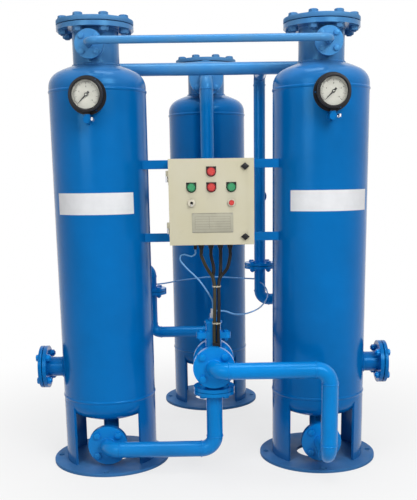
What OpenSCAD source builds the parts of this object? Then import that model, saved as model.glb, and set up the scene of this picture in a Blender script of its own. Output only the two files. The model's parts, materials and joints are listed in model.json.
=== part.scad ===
// Desiccant air dryer: two drying towers in front, a third vessel behind,
// joined by flanged pipework, a changeover valve and a control panel.
// Millimetres, +Z up, +Y away from the front, origin on the floor under the middle.

/* [Towers] */
// Outside diameter of each vessel
tower_od = 355.6; // [340:0.1:380]
// Thickness of the vessel wall
shell_t = 8; // [6:0.5:12]
// Distance between the axes of the two front towers
tower_pitch = 824; // [780:1:900]
// Distance from the front row to the rear tower's axis
row_depth = 838; // [780:1:900]
// Sideways place of the rear tower
rear_x = -8; // [-30:1:30]
// Height of the lower circumferential weld
seam_low_z = 273; // [265:1:300]
// Rise from the top head's straight flange to the neck flange
neck_rise = 198; // [190:1:230]
// Straight flange of each dished head
head_flange = 15; // [10:1:20]
// Crown radius of each dished head
crown_r = 320; // [300:1:340]
// Knuckle radius of each dished head
knuckle_r = 60; // [50:1:65]
// Radius of a seam's weld bead
seam_bead_r = 8; // [7:0.5:10]
// How far a seam's weld bead stands proud
seam_bead_proud = 2.5; // [1.5:0.1:4]

/* [Filling neck] */
// Outside diameter of the filling neck
neck_od = 168.3; // [159:0.1:170]
// Wall of the filling neck
neck_t = 7.1; // [5:0.1:10]
// Height of the neck flange's underside
neck_flange_z = 1624; // [1560:1:1700]
// How much shorter the rear vessel is than the towers
rear_drop = 28; // [0:1:60]
// Outside diameter of the neck flange and its cover
cover_od = 279; // [270:1:290]
// Thickness of the neck flange and of its cover
cover_t = 16; // [14:1:20]
// Bolt circle of the cover
cover_pcd = 235; // [232:1:240]
// Bolts in the cover
cover_bolts = 8; // [4:4:8]
// Bolt hole in the cover
cover_hole_d = 22; // [21:0.5:24]
// Thickness of the gasket under the cover
cover_gasket_t = 3; // [2:0.5:4]

/* [Skirt] */
// Thickness of a leg plate
leg_t = 10; // [8:1:14]
// Arc that each leg plate takes up, in degrees
leg_arc = 90; // [70:1:95]
// Outside diameter of a base plate
base_od = 456; // [440:1:480]
// Thickness of a base plate
base_t = 12; // [8:1:14]
// Hole in the middle of a base plate
base_bore = 160; // [120:1:165]
// Distance from a base plate's rim to its anchor holes' circle
anchor_edge = 23; // [18:1:28]
// Diameter of an anchor hole
anchor_d = 22; // [18:1:26]

/* [Desiccant] */
// Gap between the bed, its screens and the wall
bed_gap = 0.5; // [0.3:0.1:0.8]
// Thickness of a bed screen
screen_t = 6; // [4:1:10]
// Free height above the bed, up to the head's tangent line
bed_freeboard = 56; // [30:1:120]
// Holes across a bed screen
screen_holes = 5; // [3:2:7]

/* [Side port] */
// Height of the drain port
side_z = 378; // [370:1:420]
// Outside diameter of the drain port's pipe
side_pipe_od = 76.1; // [73:0.1:80]
// Wall of the drain port's pipe
side_pipe_t = 5; // [4:0.5:7]
// Distance from the tower's axis to the drain flange's face
side_reach = 248; // [240:1:280]
// Outside diameter of the drain flange
side_flange_od = 165; // [160:1:185]
// Thickness of the drain flange and of its blind
side_flange_t = 14; // [12:1:18]
// Bolt circle of the drain flange
side_pcd = 127; // [124:1:135]
// Thickness of the drain gasket
side_gasket_t = 3; // [2:0.5:4]

/* [Process pipe] */
// Outside diameter of the process pipe
pipe_od = 60.3; // [57:0.1:63]
// Wall of the process pipe
pipe_t = 3.9; // [3:0.1:5]
// Bend radius of the process pipe's elbows
pipe_bend_r = 51; // [48:1:54]
// Outside diameter of the process flanges
pipe_flange_od = 152; // [148:1:154]
// Thickness of the process flanges
pipe_flange_t = 13; // [11:1:14]
// Bolt circle of the process flanges
pipe_pcd = 114; // [112:1:118]
// Bolt hole of the drain and process flanges
m16_hole_d = 18; // [17:0.5:19]
// Thickness of the pipe gaskets
pipe_gasket_t = 2; // [1.5:0.5:3]
// Height of the towers' lower ports
port_z = 92; // [91:1:98]
// Distance from the tower's axis to the lower port's flange face
port_reach = 119; // [116:1:126]
// Distance from the rear tower's axis to its neck port's flange face
rear_port_reach = 157; // [155:1:175]

/* [Line pipe] */
// Outside diameter of the header, inlet and outlet lines
line_od = 48.3; // [46:0.1:50]
// Wall of the header, inlet and outlet lines
line_t = 3.7; // [3:0.1:5]
// Bend radius of the lines' elbows
line_bend_r = 38; // [36:1:39]
// Outside diameter of the line flanges
line_flange_od = 133; // [130:1:140]
// Thickness of the line flanges
line_flange_t = 12; // [10:1:16]
// Bolt circle of the line flanges
line_pcd = 98; // [96:1:102]
// Bolt hole of the line and purge flanges
m12_hole_d = 14; // [13:0.5:15]
// Distance of the neck's rear port below the neck flange
neck_rear_drop = 30; // [29:1:36]
// Drop from the neck's rear port to the header
header_drop = 80; // [79:1:82]
// Distance of the header behind the front row
header_y = 190; // [184:1:220]
// Sideways place of the outlet riser
riser_x = 214; // [205:1:225]
// Distance of the outlet riser behind the front row
riser_y = 427; // [410:1:440]
// Height of the riser's flanged joint
riser_joint_z = 717; // [700:1:750]
// Height of the outlet
outlet_z = 566; // [550:1:590]
// Sideways reach of the inlet and outlet flanges
branch_reach = 560; // [540:1:600]
// Height where the rear tower's pipe meets the riser
rear_branch_z = 1015; // [930:1:1080]
// Sideways place of the inlet drop
inlet_x = -266; // [-280:1:-250]
// Distance of the inlet drop behind the front row
inlet_y = 427; // [410:1:440]
// Height of the inlet
inlet_z = 714; // [700:1:760]
// Height of the inlet's flanged joint
inlet_joint_z = 610; // [590:1:630]

/* [Purge line] */
// Outside diameter of the purge pipe
purge_od = 26.9; // [24:0.1:30]
// Wall of the purge pipe
purge_t = 2.6; // [2:0.1:4]
// Bend radius of the purge pipe
purge_bend_r = 38; // [32:1:40]
// Outside diameter of the purge flanges
purge_flange_od = 100; // [97:1:102]
// Thickness of the purge flanges
purge_flange_t = 10; // [8:1:14]
// Bolt circle of the purge flanges
purge_pcd = 73; // [72:1:76]
// Distance of the purge ports, and of the rear vessel's neck port, below the neck flange
neck_port_drop = 61; // [60:1:66]
// Distance from the tower's axis to the purge flange's face
purge_reach = 124; // [120:1:136]
// Sideways offset of the purge port from the tower's axis
purge_offset = 7; // [0:1:12]
// Distance of the purge run in front of the front row
purge_run_y = 206; // [202:1:220]

/* [Changeover valve] */
// Sideways place of the valve
valve_x = 0; // [-20:1:20]
// Height of the valve's middle
valve_z = 425; // [415:1:445]
// Distance from the valve's middle to its front and rear faces
valve_reach = 66; // [66:1:72]
// Distance from the valve's middle to its lower face
valve_drop = 98; // [96:1:110]
// Radius of the valve's body
valve_r = 52; // [48:1:54]
// Distance from the valve's middle to the bonnet's seat
bonnet_rise = 107; // [96:1:116]
// Length of the oval bonnet between its bolts
bonnet_pitch = 92; // [86:1:100]
// Radius of the bonnet's ends
bonnet_end_r = 17; // [15:1:19]
// Radius of the bonnet's middle
bonnet_r = 31; // [29:1:33]
// Thickness of each bonnet flange
bonnet_t = 11; // [9:1:14]
// Radius of the actuator
actuator_r = 31; // [28:1:33]
// Height of the actuator
actuator_h = 53; // [44:1:60]

/* [Gauges] */
// Outside diameter of a gauge's bezel
bezel_od = 116; // [112:1:122]
// Outside diameter of a gauge's case
case_od = 108; // [105:1:111]
// Inside diameter of a gauge's case
case_id = 100; // [96:1:102]
// Depth of a gauge's case
case_depth = 46; // [40:1:56]
// Outside diameter of a gauge's back flange
back_flange_od = 132; // [124:1:133]
// Distance of the gauges' middle below the upper circumferential weld
gauge_below = 28; // [16:1:36]
// Sideways offset of a gauge from its tower's axis
gauge_offset = 10; // [0:1:16]
// Distance from the tower's wall to the gauge's stem
gauge_stand = 48; // [44:1:60]
// Drop from the gauge's middle to its cock
cock_drop = 82; // [80:1:92]
// Diameter of a cock's body
cock_d = 26; // [22:1:30]
// Diameter of a cock handle's spindle
spindle_d = 10; // [8:0.5:12]
// Length of a cock handle's lever
lever_l = 34; // [26:1:40]

/* [Panel] */
// Width and height of the control panel
panel_w = 300; // [290:1:310]
// Height of the panel's middle
panel_z = 1015; // [1005:1:1025]
// Distance of the panel's back in front of the front row
panel_back_y = 75; // [70:1:85]
// Depth of the panel's box without its door
box_depth = 132; // [120:1:150]
// Thickness of the panel's sheet
sheet_t = 2; // [1.5:0.1:3]
// Depth of the door
door_depth = 17.6; // [15:0.1:22]
// Width of each rail that carries the panel
rail_w = 32; // [28:1:40]
// Thickness of each rail
rail_t = 6; // [5:1:8]
// Distance from the panel's middle to each rail
rail_rise = 133; // [125:1:134]
// Distance from the panel's middle to each hinge
hinge_rise = 90; // [80:1:110]
// Diameter of a hinge knuckle
knuckle_d = 9; // [8:0.5:10]
// Diameter of a hinge pin
hinge_pin_d = 5; // [4:0.5:6]
// Spacing of the lamps across the door
lamp_pitch_x = 70; // [60:1:80]
// Spacing of the lamp rows
lamp_pitch_z = 54; // [48:1:60]
// Height of the main lamp row above the panel's middle
lamp_row = 51; // [45:1:56]
// Diameter of a lamp's lens
lens_d = 26; // [24:1:28]
// Sideways place of the door locks
lock_x = 118; // [112:1:122]
// Distance from the panel's middle to each lock
lock_rise = 122; // [115:1:126]
// Diameter of a lock's barrel
lock_d = 18; // [16:1:20]
// Spacing of the cable glands
gland_pitch = 35; // [32:1:38]
// Diameter of a gland
gland_d = 20; // [18:1:24]
// Length of a gland below the panel
gland_l = 22; // [18:1:28]

/* [Hidden] */
$fn = 96;

// Paint and finish colours
blue = "#1676c8";
cream = "#d8d2b8";
black = "#1c1c1e";
steel = "#b8bcc0";

// Working clearances
weld_gap = 0.2;
seat_gap = 0.3;
run_gap = 0.05;

// Hexagon bolts as shank diameter, width across flats, head height and nut height
m20 = [20, 30, 12.5, 16];
m16 = [16, 24, 10, 13];
m12 = [12, 18, 7.5, 10];
m10 = [10, 16, 6.4, 8];
bolt_end = 4;

// Places worked out from the sizes
tower_r = tower_od / 2;
tower_x = tower_pitch / 2;
top_tan_z = neck_flange_z - neck_rise;
seam_high_z = top_tan_z - head_flange;
bed_top_z = top_tan_z - bed_freeboard;
anchor_pcd = base_od - 2 * anchor_edge;
low_tan_z = seam_low_z - head_flange;
crown_drop = sqrt(pow(crown_r - knuckle_r, 2) - pow(tower_r - knuckle_r, 2));
head_h = crown_r - crown_drop;
neck_r = neck_od / 2;
cover_z = neck_flange_z + cover_t + cover_gasket_t;
spool_y = -(port_reach + pipe_gasket_t + pipe_flange_t + pipe_bend_r);
valve_y = spool_y;
valve_front_y = valve_y - valve_reach;
valve_rear_y = valve_y + valve_reach;
run_y = valve_front_y - pipe_gasket_t - pipe_flange_t - pipe_bend_r;
front_reach = pipe_od / 2 - run_y;
front_y = -(row_depth + base_od / 2 - front_reach) / 2;
downpipe_y = row_depth - rear_port_reach - pipe_gasket_t - pipe_flange_t - pipe_bend_r;
neck_rear_z = neck_flange_z - neck_rear_drop;
header_z = neck_rear_z - header_drop;
neck_port_z = neck_flange_z - neck_port_drop;
rear_port_z = neck_port_z - rear_drop;
gauge_y = -(tower_r + gauge_stand);
gauge_front_y = gauge_y - case_depth / 2;
gauge_z = seam_high_z - gauge_below;
cock_z = gauge_z - cock_drop;
panel_r = panel_w / 2;
door_back_y = -(panel_back_y + box_depth + seat_gap);
door_front_y = door_back_y - door_depth;
hinge_x = -(panel_r + knuckle_d / 2 + 0.5);
hinge_y = door_back_y - 1.2;
gland_y = -(panel_back_y + box_depth / 2 + 9);
panel_bottom_z = panel_z - panel_r;
gland_bottom_z = panel_bottom_z - gland_l;

// Helpers

module row() translate([0, front_y, 0]) children();

function unit(v) = v / norm(v);

// Turns +Z to the direction dir at point p, with X kept level
module aim(p, dir) {
  w = unit(dir);
  u = unit(cross(abs(w[2]) < 0.9 ? [0, 0, 1] : [0, 1, 0], w));
  v = cross(w, u);
  multmatrix([
    [u[0], v[0], w[0], p[0]],
    [u[1], v[1], w[1], p[1]],
    [u[2], v[2], w[2], p[2]],
    [0, 0, 0, 1]
  ]) children();
}

// Length of straight pipe that a bend takes up on each side of corner i
function bend_cut(pts, i, r) =
  i <= 0 || i >= len(pts) - 1 ? 0 :
  let (u = unit(pts[i - 1] - pts[i]), w = unit(pts[i + 1] - pts[i]))
  r / tan(acos(u * w) / 2);

// Round bar along a path of corners, each rounded to radius r
module path_bar(pts, d, r) {
  for (i = [0 : len(pts) - 2]) {
    along = unit(pts[i + 1] - pts[i]);
    start = pts[i] + along * bend_cut(pts, i, r);
    end = pts[i + 1] - along * bend_cut(pts, i + 1, r);
    if (norm(end - start) > 0.01) aim(start, along) cylinder(h = norm(end - start), d = d);
  }
  for (i = [1 : len(pts) - 2]) {
    u = unit(pts[i - 1] - pts[i]);
    w = unit(pts[i + 1] - pts[i]);
    start = pts[i] + u * bend_cut(pts, i, r);
    centre = pts[i] + unit(u + w) * r / sin(acos(u * w) / 2);
    ex = unit(start - centre);
    ez = cross(ex, -u);
    multmatrix([
      [ex[0], -u[0], ez[0], centre[0]],
      [ex[1], -u[1], ez[1], centre[1]],
      [ex[2], -u[2], ez[2], centre[2]],
      [0, 0, 0, 1]
    ]) rotate_extrude(angle = 180 - acos(u * w)) translate([r, 0]) circle(d = d);
  }
}

// Welds at both ends of each bend
module path_welds(pts, d, r, proud = 1.2, w = 4) {
  for (i = [1 : len(pts) - 2])
    for (side = [-1, 1]) {
      along = unit(pts[i + side] - pts[i]);
      aim(pts[i] + along * bend_cut(pts, i, r), along) cylinder(h = w, d = d + 2 * proud);
    }
}

// Ring of n holes or posts on a bolt circle, half a step round from level
module around(pcd, n) for (k = [0 : n - 1]) rotate((k + 0.5) * 360 / n) translate([pcd / 2, 0, 0]) children();

module hole_ring(pcd, n, d, t) around(pcd, n) translate([0, 0, -1]) cylinder(h = t + 2, d = d);

// Hexagon bolt with its nut, clamping grip, with its head towards +Z
module bolt(size, grip) {
  translate([0, 0, grip]) cylinder(h = size[2], d = size[1] / cos(30), $fn = 6);
  translate([0, 0, -size[3] - bolt_end]) cylinder(h = grip + size[3] + bolt_end, d = size[0]);
  translate([0, 0, -size[3]]) cylinder(h = size[3], d = size[1] / cos(30), $fn = 6);
}

module bolt_ring(p, dir, pcd, n, size, grip) aim(p, dir) around(pcd, n) bolt(size, grip);

// Flat gasket that ends inside the bolt holes
module gasket(p, dir, pcd, hole_d, bore, t) aim(p, dir) difference() {
  cylinder(h = t, d = pcd - hole_d - 2);
  translate([0, 0, -1]) cylinder(h = t + 2, d = bore);
}

// Flanged pipe: a path with a flange behind each end that asks for one
module flanged_pipe(pts, od, wall, r, flange, at_start = true, at_end = true) {
  last = len(pts) - 1;
  start_dir = unit(pts[1] - pts[0]);
  end_dir = unit(pts[last - 1] - pts[last]);
  difference() {
    union() {
      path_bar(pts, od, r);
      path_welds(pts, od, r);
      if (at_start) aim(pts[0], start_dir) cylinder(h = flange[1], d = flange[0]);
      if (at_end) aim(pts[last], end_dir) cylinder(h = flange[1], d = flange[0]);
    }
    path_bar(pts, od - 2 * wall, r);
    if (at_start) aim(pts[0], start_dir) hole_ring(flange[2], 4, flange[3], flange[1]);
    if (at_end) aim(pts[last], end_dir) hole_ring(flange[2], 4, flange[3], flange[1]);
  }
}

// Flanges as outside diameter, thickness, bolt circle and hole
pipe_flange = [pipe_flange_od, pipe_flange_t, pipe_pcd, m16_hole_d];
line_flange = [line_flange_od, line_flange_t, line_pcd, m12_hole_d];
purge_flange = [purge_flange_od, purge_flange_t, purge_pcd, m12_hole_d];

// Vessels

// Half section of a dished head above its tangent line
module dish(inset) {
  tangent_x = (crown_r - inset) * (tower_r - knuckle_r) / (crown_r - knuckle_r);
  intersection() {
    translate([0, -crown_drop]) circle(r = crown_r - inset, $fn = 180);
    square([tangent_x, crown_r]);
  }
  intersection() {
    translate([tower_r - knuckle_r, 0]) circle(r = knuckle_r - inset);
    square([tower_r, knuckle_r]);
  }
}

// Half section of the closed vessel, drawn in from its outside by inset
module vessel_section(inset, drop) {
  translate([0, low_tan_z]) square([tower_r - inset, top_tan_z - drop - low_tan_z]);
  translate([0, top_tan_z - drop]) dish(inset);
  translate([0, low_tan_z]) mirror([0, 1]) dish(inset);
}

module seam_bead(z) translate([tower_r + seam_bead_proud - seam_bead_r, z]) circle(r = seam_bead_r, $fn = 32);

// Shell, both heads, neck and neck flange, welded into one vessel, and the room inside them
module vessel_outside(drop = 0) rotate_extrude() {
  vessel_section(0, drop);
  seam_bead(seam_low_z);
  seam_bead(seam_high_z - drop);
  translate([0, top_tan_z - drop]) square([neck_r, neck_flange_z - top_tan_z]);
  translate([0, neck_flange_z - drop]) square([cover_od / 2, cover_t]);
}

module vessel_inside(drop = 0) rotate_extrude() {
  vessel_section(shell_t, drop);
  translate([0, top_tan_z - drop]) square([neck_r - neck_t, cover_z - top_tan_z]);
}

module cover_holes(drop = 0) translate([0, 0, neck_flange_z - drop]) hole_ring(cover_pcd, cover_bolts, cover_hole_d, cover_t);

port_path = [[0, 0, low_tan_z - knuckle_r], [0, 0, port_z], [0, -port_reach, port_z]];

// Drying tower: side is -1 for the left and 1 for the right
module drying_vessel(side) row() translate([side * tower_x, 0, 0]) {
  purge_at = [side * purge_offset, 0, neck_port_z];
  difference() {
    union() {
      vessel_outside();
      aim([0, 0, side_z], [side, 0, 0]) cylinder(h = side_reach, d = side_pipe_od);
      aim([side * (side_reach - side_flange_t), 0, side_z], [side, 0, 0])
        cylinder(h = side_flange_t, d = side_flange_od);
      aim(purge_at, [0, -1, 0]) cylinder(h = purge_reach, d = purge_od);
      aim(purge_at - [0, purge_reach - purge_flange_t, 0], [0, -1, 0])
        cylinder(h = purge_flange_t, d = purge_flange_od);
      path_bar(port_path, pipe_od, pipe_bend_r);
      aim([0, pipe_flange_t - port_reach, port_z], [0, -1, 0]) cylinder(h = pipe_flange_t, d = pipe_flange_od);
    }
    vessel_inside();
    cover_holes();
    aim([0, 0, side_z], [side, 0, 0]) cylinder(h = side_reach + 1, d = side_pipe_od - 2 * side_pipe_t);
    aim([side * (side_reach - side_flange_t), 0, side_z], [side, 0, 0])
      hole_ring(side_pcd, 4, m16_hole_d, side_flange_t);
    aim(purge_at, [0, -1, 0]) cylinder(h = purge_reach + 1, d = purge_od - 2 * purge_t);
    aim(purge_at - [0, purge_reach - purge_flange_t, 0], [0, -1, 0])
      hole_ring(purge_pcd, 4, m12_hole_d, purge_flange_t);
    path_bar(port_path, pipe_od - 2 * pipe_t, pipe_bend_r);
    aim([0, pipe_flange_t - port_reach, port_z], [0, -1, 0]) hole_ring(pipe_pcd, 4, m16_hole_d, pipe_flange_t);
    aim([0, 0, neck_rear_z], [0, 1, 0]) cylinder(h = neck_r + neck_t, d = line_od - 2 * line_t);
  }
}

module left_vessel() color(blue) drying_vessel(-1);
module right_vessel() color(blue) drying_vessel(1);

module rear_vessel() color(blue) row() translate([rear_x, row_depth, 0]) difference() {
  union() {
    vessel_outside(rear_drop);
    aim([0, 0, rear_port_z], [0, -1, 0]) cylinder(h = rear_port_reach, d = pipe_od);
    aim([0, pipe_flange_t - rear_port_reach, rear_port_z], [0, -1, 0])
      cylinder(h = pipe_flange_t, d = pipe_flange_od);
  }
  vessel_inside(rear_drop);
  cover_holes(rear_drop);
  aim([0, 0, rear_port_z], [0, -1, 0]) cylinder(h = rear_port_reach + 1, d = pipe_od - 2 * pipe_t);
  aim([0, pipe_flange_t - rear_port_reach, rear_port_z], [0, -1, 0])
    hole_ring(pipe_pcd, 4, m16_hole_d, pipe_flange_t);
}

// Axis of each tower on the floor: left, right, rear
tower_axes = [[-tower_x, 0, 0], [tower_x, 0, 0], [rear_x, row_depth, 0]];

// The same, at the height of each neck flange's underside
neck_tops = [[-tower_x, 0, neck_flange_z], [tower_x, 0, neck_flange_z], [rear_x, row_depth, neck_flange_z - rear_drop]];

module cover(i) color(blue) row() translate(neck_tops[i] + [0, 0, cover_z - neck_flange_z]) difference() {
  cylinder(h = cover_t, d = cover_od);
  hole_ring(cover_pcd, cover_bolts, cover_hole_d, cover_t);
}
module left_cover() cover(0);
module right_cover() cover(1);
module rear_cover() cover(2);

// Curved plates that carry each tower at its sides, open at the front and back
module skirt_legs() color(blue) row() for (axis = tower_axes) translate(axis) for (turn = [0, 180])
  rotate(turn - leg_arc / 2) rotate_extrude(angle = leg_arc) difference() {
    translate([tower_r - leg_t, base_t]) square([leg_t, low_tan_z - base_t]);
    translate([0, low_tan_z]) mirror([0, 1]) dish(-weld_gap);
  }

module base_plates() color(blue) row() for (axis = tower_axes) translate(axis) difference() {
  cylinder(h = base_t, d = base_od);
  translate([0, 0, -1]) cylinder(h = base_t + 2, d = base_bore);
  rotate(45) hole_ring(anchor_pcd, 4, anchor_d, base_t);
}

bed_r = tower_r - shell_t - bed_gap;
bed_low_z = low_tan_z + screen_t + seat_gap;

module desiccant_beds() color("ivory") row() for (i = [0, 1]) translate(tower_axes[i] + [0, 0, bed_low_z])
  cylinder(h = bed_top_z - bed_low_z, r = bed_r);

// Perforated plates below and above each bed
module bed_screens() color(steel) row() for (i = [0, 1]) for (z = [low_tan_z, bed_top_z + seat_gap])
  translate(tower_axes[i] + [0, 0, z]) difference() {
    cylinder(h = screen_t, r = bed_r);
    pitch = 2 * bed_r / (screen_holes + 1);
    for (a = [1 : screen_holes]) for (b = [1 : screen_holes]) {
      at = [a * pitch - bed_r, b * pitch - bed_r, -1];
      if (norm([at[0], at[1]]) < bed_r - pitch / 2) translate(at) cylinder(h = screen_t + 2, d = pitch / 2);
    }
  }

// Flanged joints: gaskets, bolts and blinds

module flange_gaskets() color("dimgray") row() {
  for (top = neck_tops)
    gasket(top + [0, 0, cover_t], [0, 0, 1], cover_pcd, cover_hole_d, neck_od - 2 * neck_t,
      cover_gasket_t);
  for (side = [-1, 1]) {
    gasket([side * (tower_x + side_reach), 0, side_z], [side, 0, 0], side_pcd, m16_hole_d,
      side_pipe_od - 2 * side_pipe_t, side_gasket_t);
    gasket([side * (tower_x + purge_offset), -purge_reach, neck_port_z], [0, -1, 0], purge_pcd, m12_hole_d,
      purge_od - 2 * purge_t, pipe_gasket_t);
    gasket([side * tower_x, -port_reach, port_z], [0, -1, 0], pipe_pcd, m16_hole_d, pipe_od - 2 * pipe_t,
      pipe_gasket_t);
  }
  gasket([rear_x, row_depth - rear_port_reach, rear_port_z], [0, -1, 0], pipe_pcd, m16_hole_d,
    pipe_od - 2 * pipe_t, pipe_gasket_t);
  gasket([valve_x, valve_front_y, valve_z], [0, -1, 0], pipe_pcd, m16_hole_d, pipe_od - 2 * pipe_t, pipe_gasket_t);
  gasket([valve_x, valve_rear_y, valve_z], [0, 1, 0], pipe_pcd, m16_hole_d, pipe_od - 2 * pipe_t, pipe_gasket_t);
  gasket([valve_x, valve_y, valve_z - valve_drop], [0, 0, -1], pipe_pcd, m16_hole_d, pipe_od - 2 * pipe_t,
    pipe_gasket_t);
  gasket([riser_x, riser_y, riser_joint_z], [0, 0, 1], line_pcd, m12_hole_d, line_od - 2 * line_t, pipe_gasket_t);
  gasket([inlet_x, inlet_y, inlet_joint_z], [0, 0, 1], line_pcd, m12_hole_d, line_od - 2 * line_t, pipe_gasket_t);
}

module m20_bolts() color(blue) row() for (top = neck_tops)
  bolt_ring(top, [0, 0, 1], cover_pcd, cover_bolts, m20, 2 * cover_t + cover_gasket_t);

// Joint between two process flanges whose inner back face is at p
module pipe_joint_bolts(p, dir)
  bolt_ring(p - dir * pipe_flange_t, dir, pipe_pcd, 4, m16, 2 * pipe_flange_t + pipe_gasket_t);

module m16_bolts() color(blue) row() {
  for (side = [-1, 1]) {
    bolt_ring([side * (tower_x + side_reach - side_flange_t), 0, side_z], [side, 0, 0], side_pcd, 4, m16,
      2 * side_flange_t + side_gasket_t);
    pipe_joint_bolts([side * tower_x, -port_reach, port_z], [0, -1, 0]);
  }
  pipe_joint_bolts([rear_x, row_depth - rear_port_reach, rear_port_z], [0, -1, 0]);
  pipe_joint_bolts([valve_x, valve_front_y, valve_z], [0, -1, 0]);
  pipe_joint_bolts([valve_x, valve_rear_y, valve_z], [0, 1, 0]);
  pipe_joint_bolts([valve_x, valve_y, valve_z - valve_drop], [0, 0, -1]);
}

module m12_bolts() color(blue) row() {
  for (side = [-1, 1])
    bolt_ring([side * (tower_x + purge_offset), purge_flange_t - purge_reach, neck_port_z], [0, -1, 0], purge_pcd, 4,
      m12, 2 * purge_flange_t + pipe_gasket_t);
  for (p = [[riser_x, riser_y, riser_joint_z], [inlet_x, inlet_y, inlet_joint_z]])
    bolt_ring(p - [0, 0, line_flange_t], [0, 0, 1], line_pcd, 4, m12, 2 * line_flange_t + pipe_gasket_t);
}

module drain_blinds() color(blue) row() for (side = [-1, 1])
  aim([side * (tower_x + side_reach + side_gasket_t), 0, side_z], [side, 0, 0]) difference() {
    cylinder(h = side_flange_t, d = side_flange_od);
    hole_ring(side_pcd, 4, m16_hole_d, side_flange_t);
  }

// Pipework

module left_lower_spool() color(blue) row() flanged_pipe([
  [-tower_x, -port_reach - pipe_gasket_t, port_z],
  [-tower_x, spool_y, port_z],
  [valve_x, spool_y, port_z],
  [valve_x, spool_y, valve_z - valve_drop - pipe_gasket_t]
], pipe_od, pipe_t, pipe_bend_r, pipe_flange);

module right_lower_spool() color(blue) row() flanged_pipe([
  [tower_x, -port_reach - pipe_gasket_t, port_z],
  [tower_x, run_y, port_z],
  [tower_x, run_y, valve_z],
  [valve_x, run_y, valve_z],
  [valve_x, valve_front_y - pipe_gasket_t, valve_z]
], pipe_od, pipe_t, pipe_bend_r, pipe_flange);

module inlet_upper() color(blue) row() flanged_pipe([
  [-branch_reach, inlet_y, inlet_z],
  [inlet_x, inlet_y, inlet_z],
  [inlet_x, inlet_y, inlet_joint_z + pipe_gasket_t]
], line_od, line_t, line_bend_r, line_flange);

inlet_path = [
  [inlet_x, inlet_y, inlet_joint_z],
  [inlet_x, inlet_y, valve_z],
  [valve_x, inlet_y, valve_z],
  [valve_x, valve_rear_y + pipe_gasket_t, valve_z]
];

// Its far end carries the larger flange of the valve
module inlet_lower() color(blue) row() difference() {
  union() {
    flanged_pipe(inlet_path, line_od, line_t, line_bend_r, line_flange, true, false);
    aim(inlet_path[3], [0, 1, 0]) difference() {
      cylinder(h = pipe_flange_t, d = pipe_flange_od);
      translate([0, 0, -1]) cylinder(h = pipe_flange_t + 2, d = line_od - 2 * line_t);
    }
  }
  aim(inlet_path[3], [0, 1, 0]) hole_ring(pipe_pcd, 4, m16_hole_d, pipe_flange_t);
}

// Runs from neck to neck behind the front towers
module outlet_header() color(blue) row() difference() {
  flanged_pipe([
    [-tower_x, 0, neck_rear_z],
    [-tower_x, header_y, neck_rear_z],
    [-tower_x, header_y, header_z],
    [tower_x, header_y, header_z],
    [tower_x, header_y, neck_rear_z],
    [tower_x, 0, neck_rear_z]
  ], line_od, line_t, line_bend_r, line_flange, false, false);
  for (side = [-1, 1]) translate([side * tower_x, -tower_r, neck_rear_z - line_od])
    translate([0, tower_r, 0]) cylinder(h = 2 * line_od, r = neck_r + weld_gap);
}

module outlet_riser() color(blue) row() difference() {
  flanged_pipe([
    [riser_x, header_y, header_z],
    [riser_x, riser_y, header_z],
    [riser_x, riser_y, riser_joint_z + pipe_gasket_t]
  ], line_od, line_t, line_bend_r, line_flange, false, true);
  aim([0, header_y, header_z], [1, 0, 0]) cylinder(h = 2 * riser_x, d = line_od + 2 * weld_gap);
}

module outlet_elbow() color(blue) row() flanged_pipe([
  [riser_x, riser_y, riser_joint_z],
  [riser_x, riser_y, outlet_z],
  [branch_reach, riser_y, outlet_z]
], line_od, line_t, line_bend_r, line_flange);

module rear_downpipe() color(blue) row() difference() {
  flanged_pipe([
    [rear_x, row_depth - rear_port_reach - pipe_gasket_t, rear_port_z],
    [rear_x, downpipe_y, rear_port_z],
    [rear_x, downpipe_y, rear_branch_z],
    [riser_x, downpipe_y, rear_branch_z],
    [riser_x, riser_y, rear_branch_z]
  ], pipe_od, pipe_t, pipe_bend_r, pipe_flange, true, false);
  translate([riser_x, riser_y, rear_branch_z - pipe_od]) cylinder(h = 2 * pipe_od, d = line_od + 2 * weld_gap);
}

module purge_line() color(blue) row() flanged_pipe([
  [-tower_x - purge_offset, -purge_reach - pipe_gasket_t, neck_port_z],
  [-tower_x - purge_offset, -purge_run_y, neck_port_z],
  [tower_x + purge_offset, -purge_run_y, neck_port_z],
  [tower_x + purge_offset, -purge_reach - pipe_gasket_t, neck_port_z]
], purge_od, purge_t, purge_bend_r, purge_flange);

// Changeover valve

valve_neck_r = 37;
bonnet_z = valve_z + bonnet_rise;

// Oval plate with rounded ends and a round middle
module oval_plate(h) {
  cylinder(h = h, r = bonnet_r);
  for (side = [-1, 1]) translate([side * bonnet_pitch / 2, 0, 0]) cylinder(h = h, r = bonnet_end_r);
  translate([-bonnet_pitch / 2, -bonnet_end_r, 0]) cube([bonnet_pitch, 2 * bonnet_end_r, h]);
}

module bonnet_holes(h) for (side = [-1, 1]) translate([side * bonnet_pitch / 2, 0, -1])
  cylinder(h = h + 2, d = m10[0] + 1);

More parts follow.
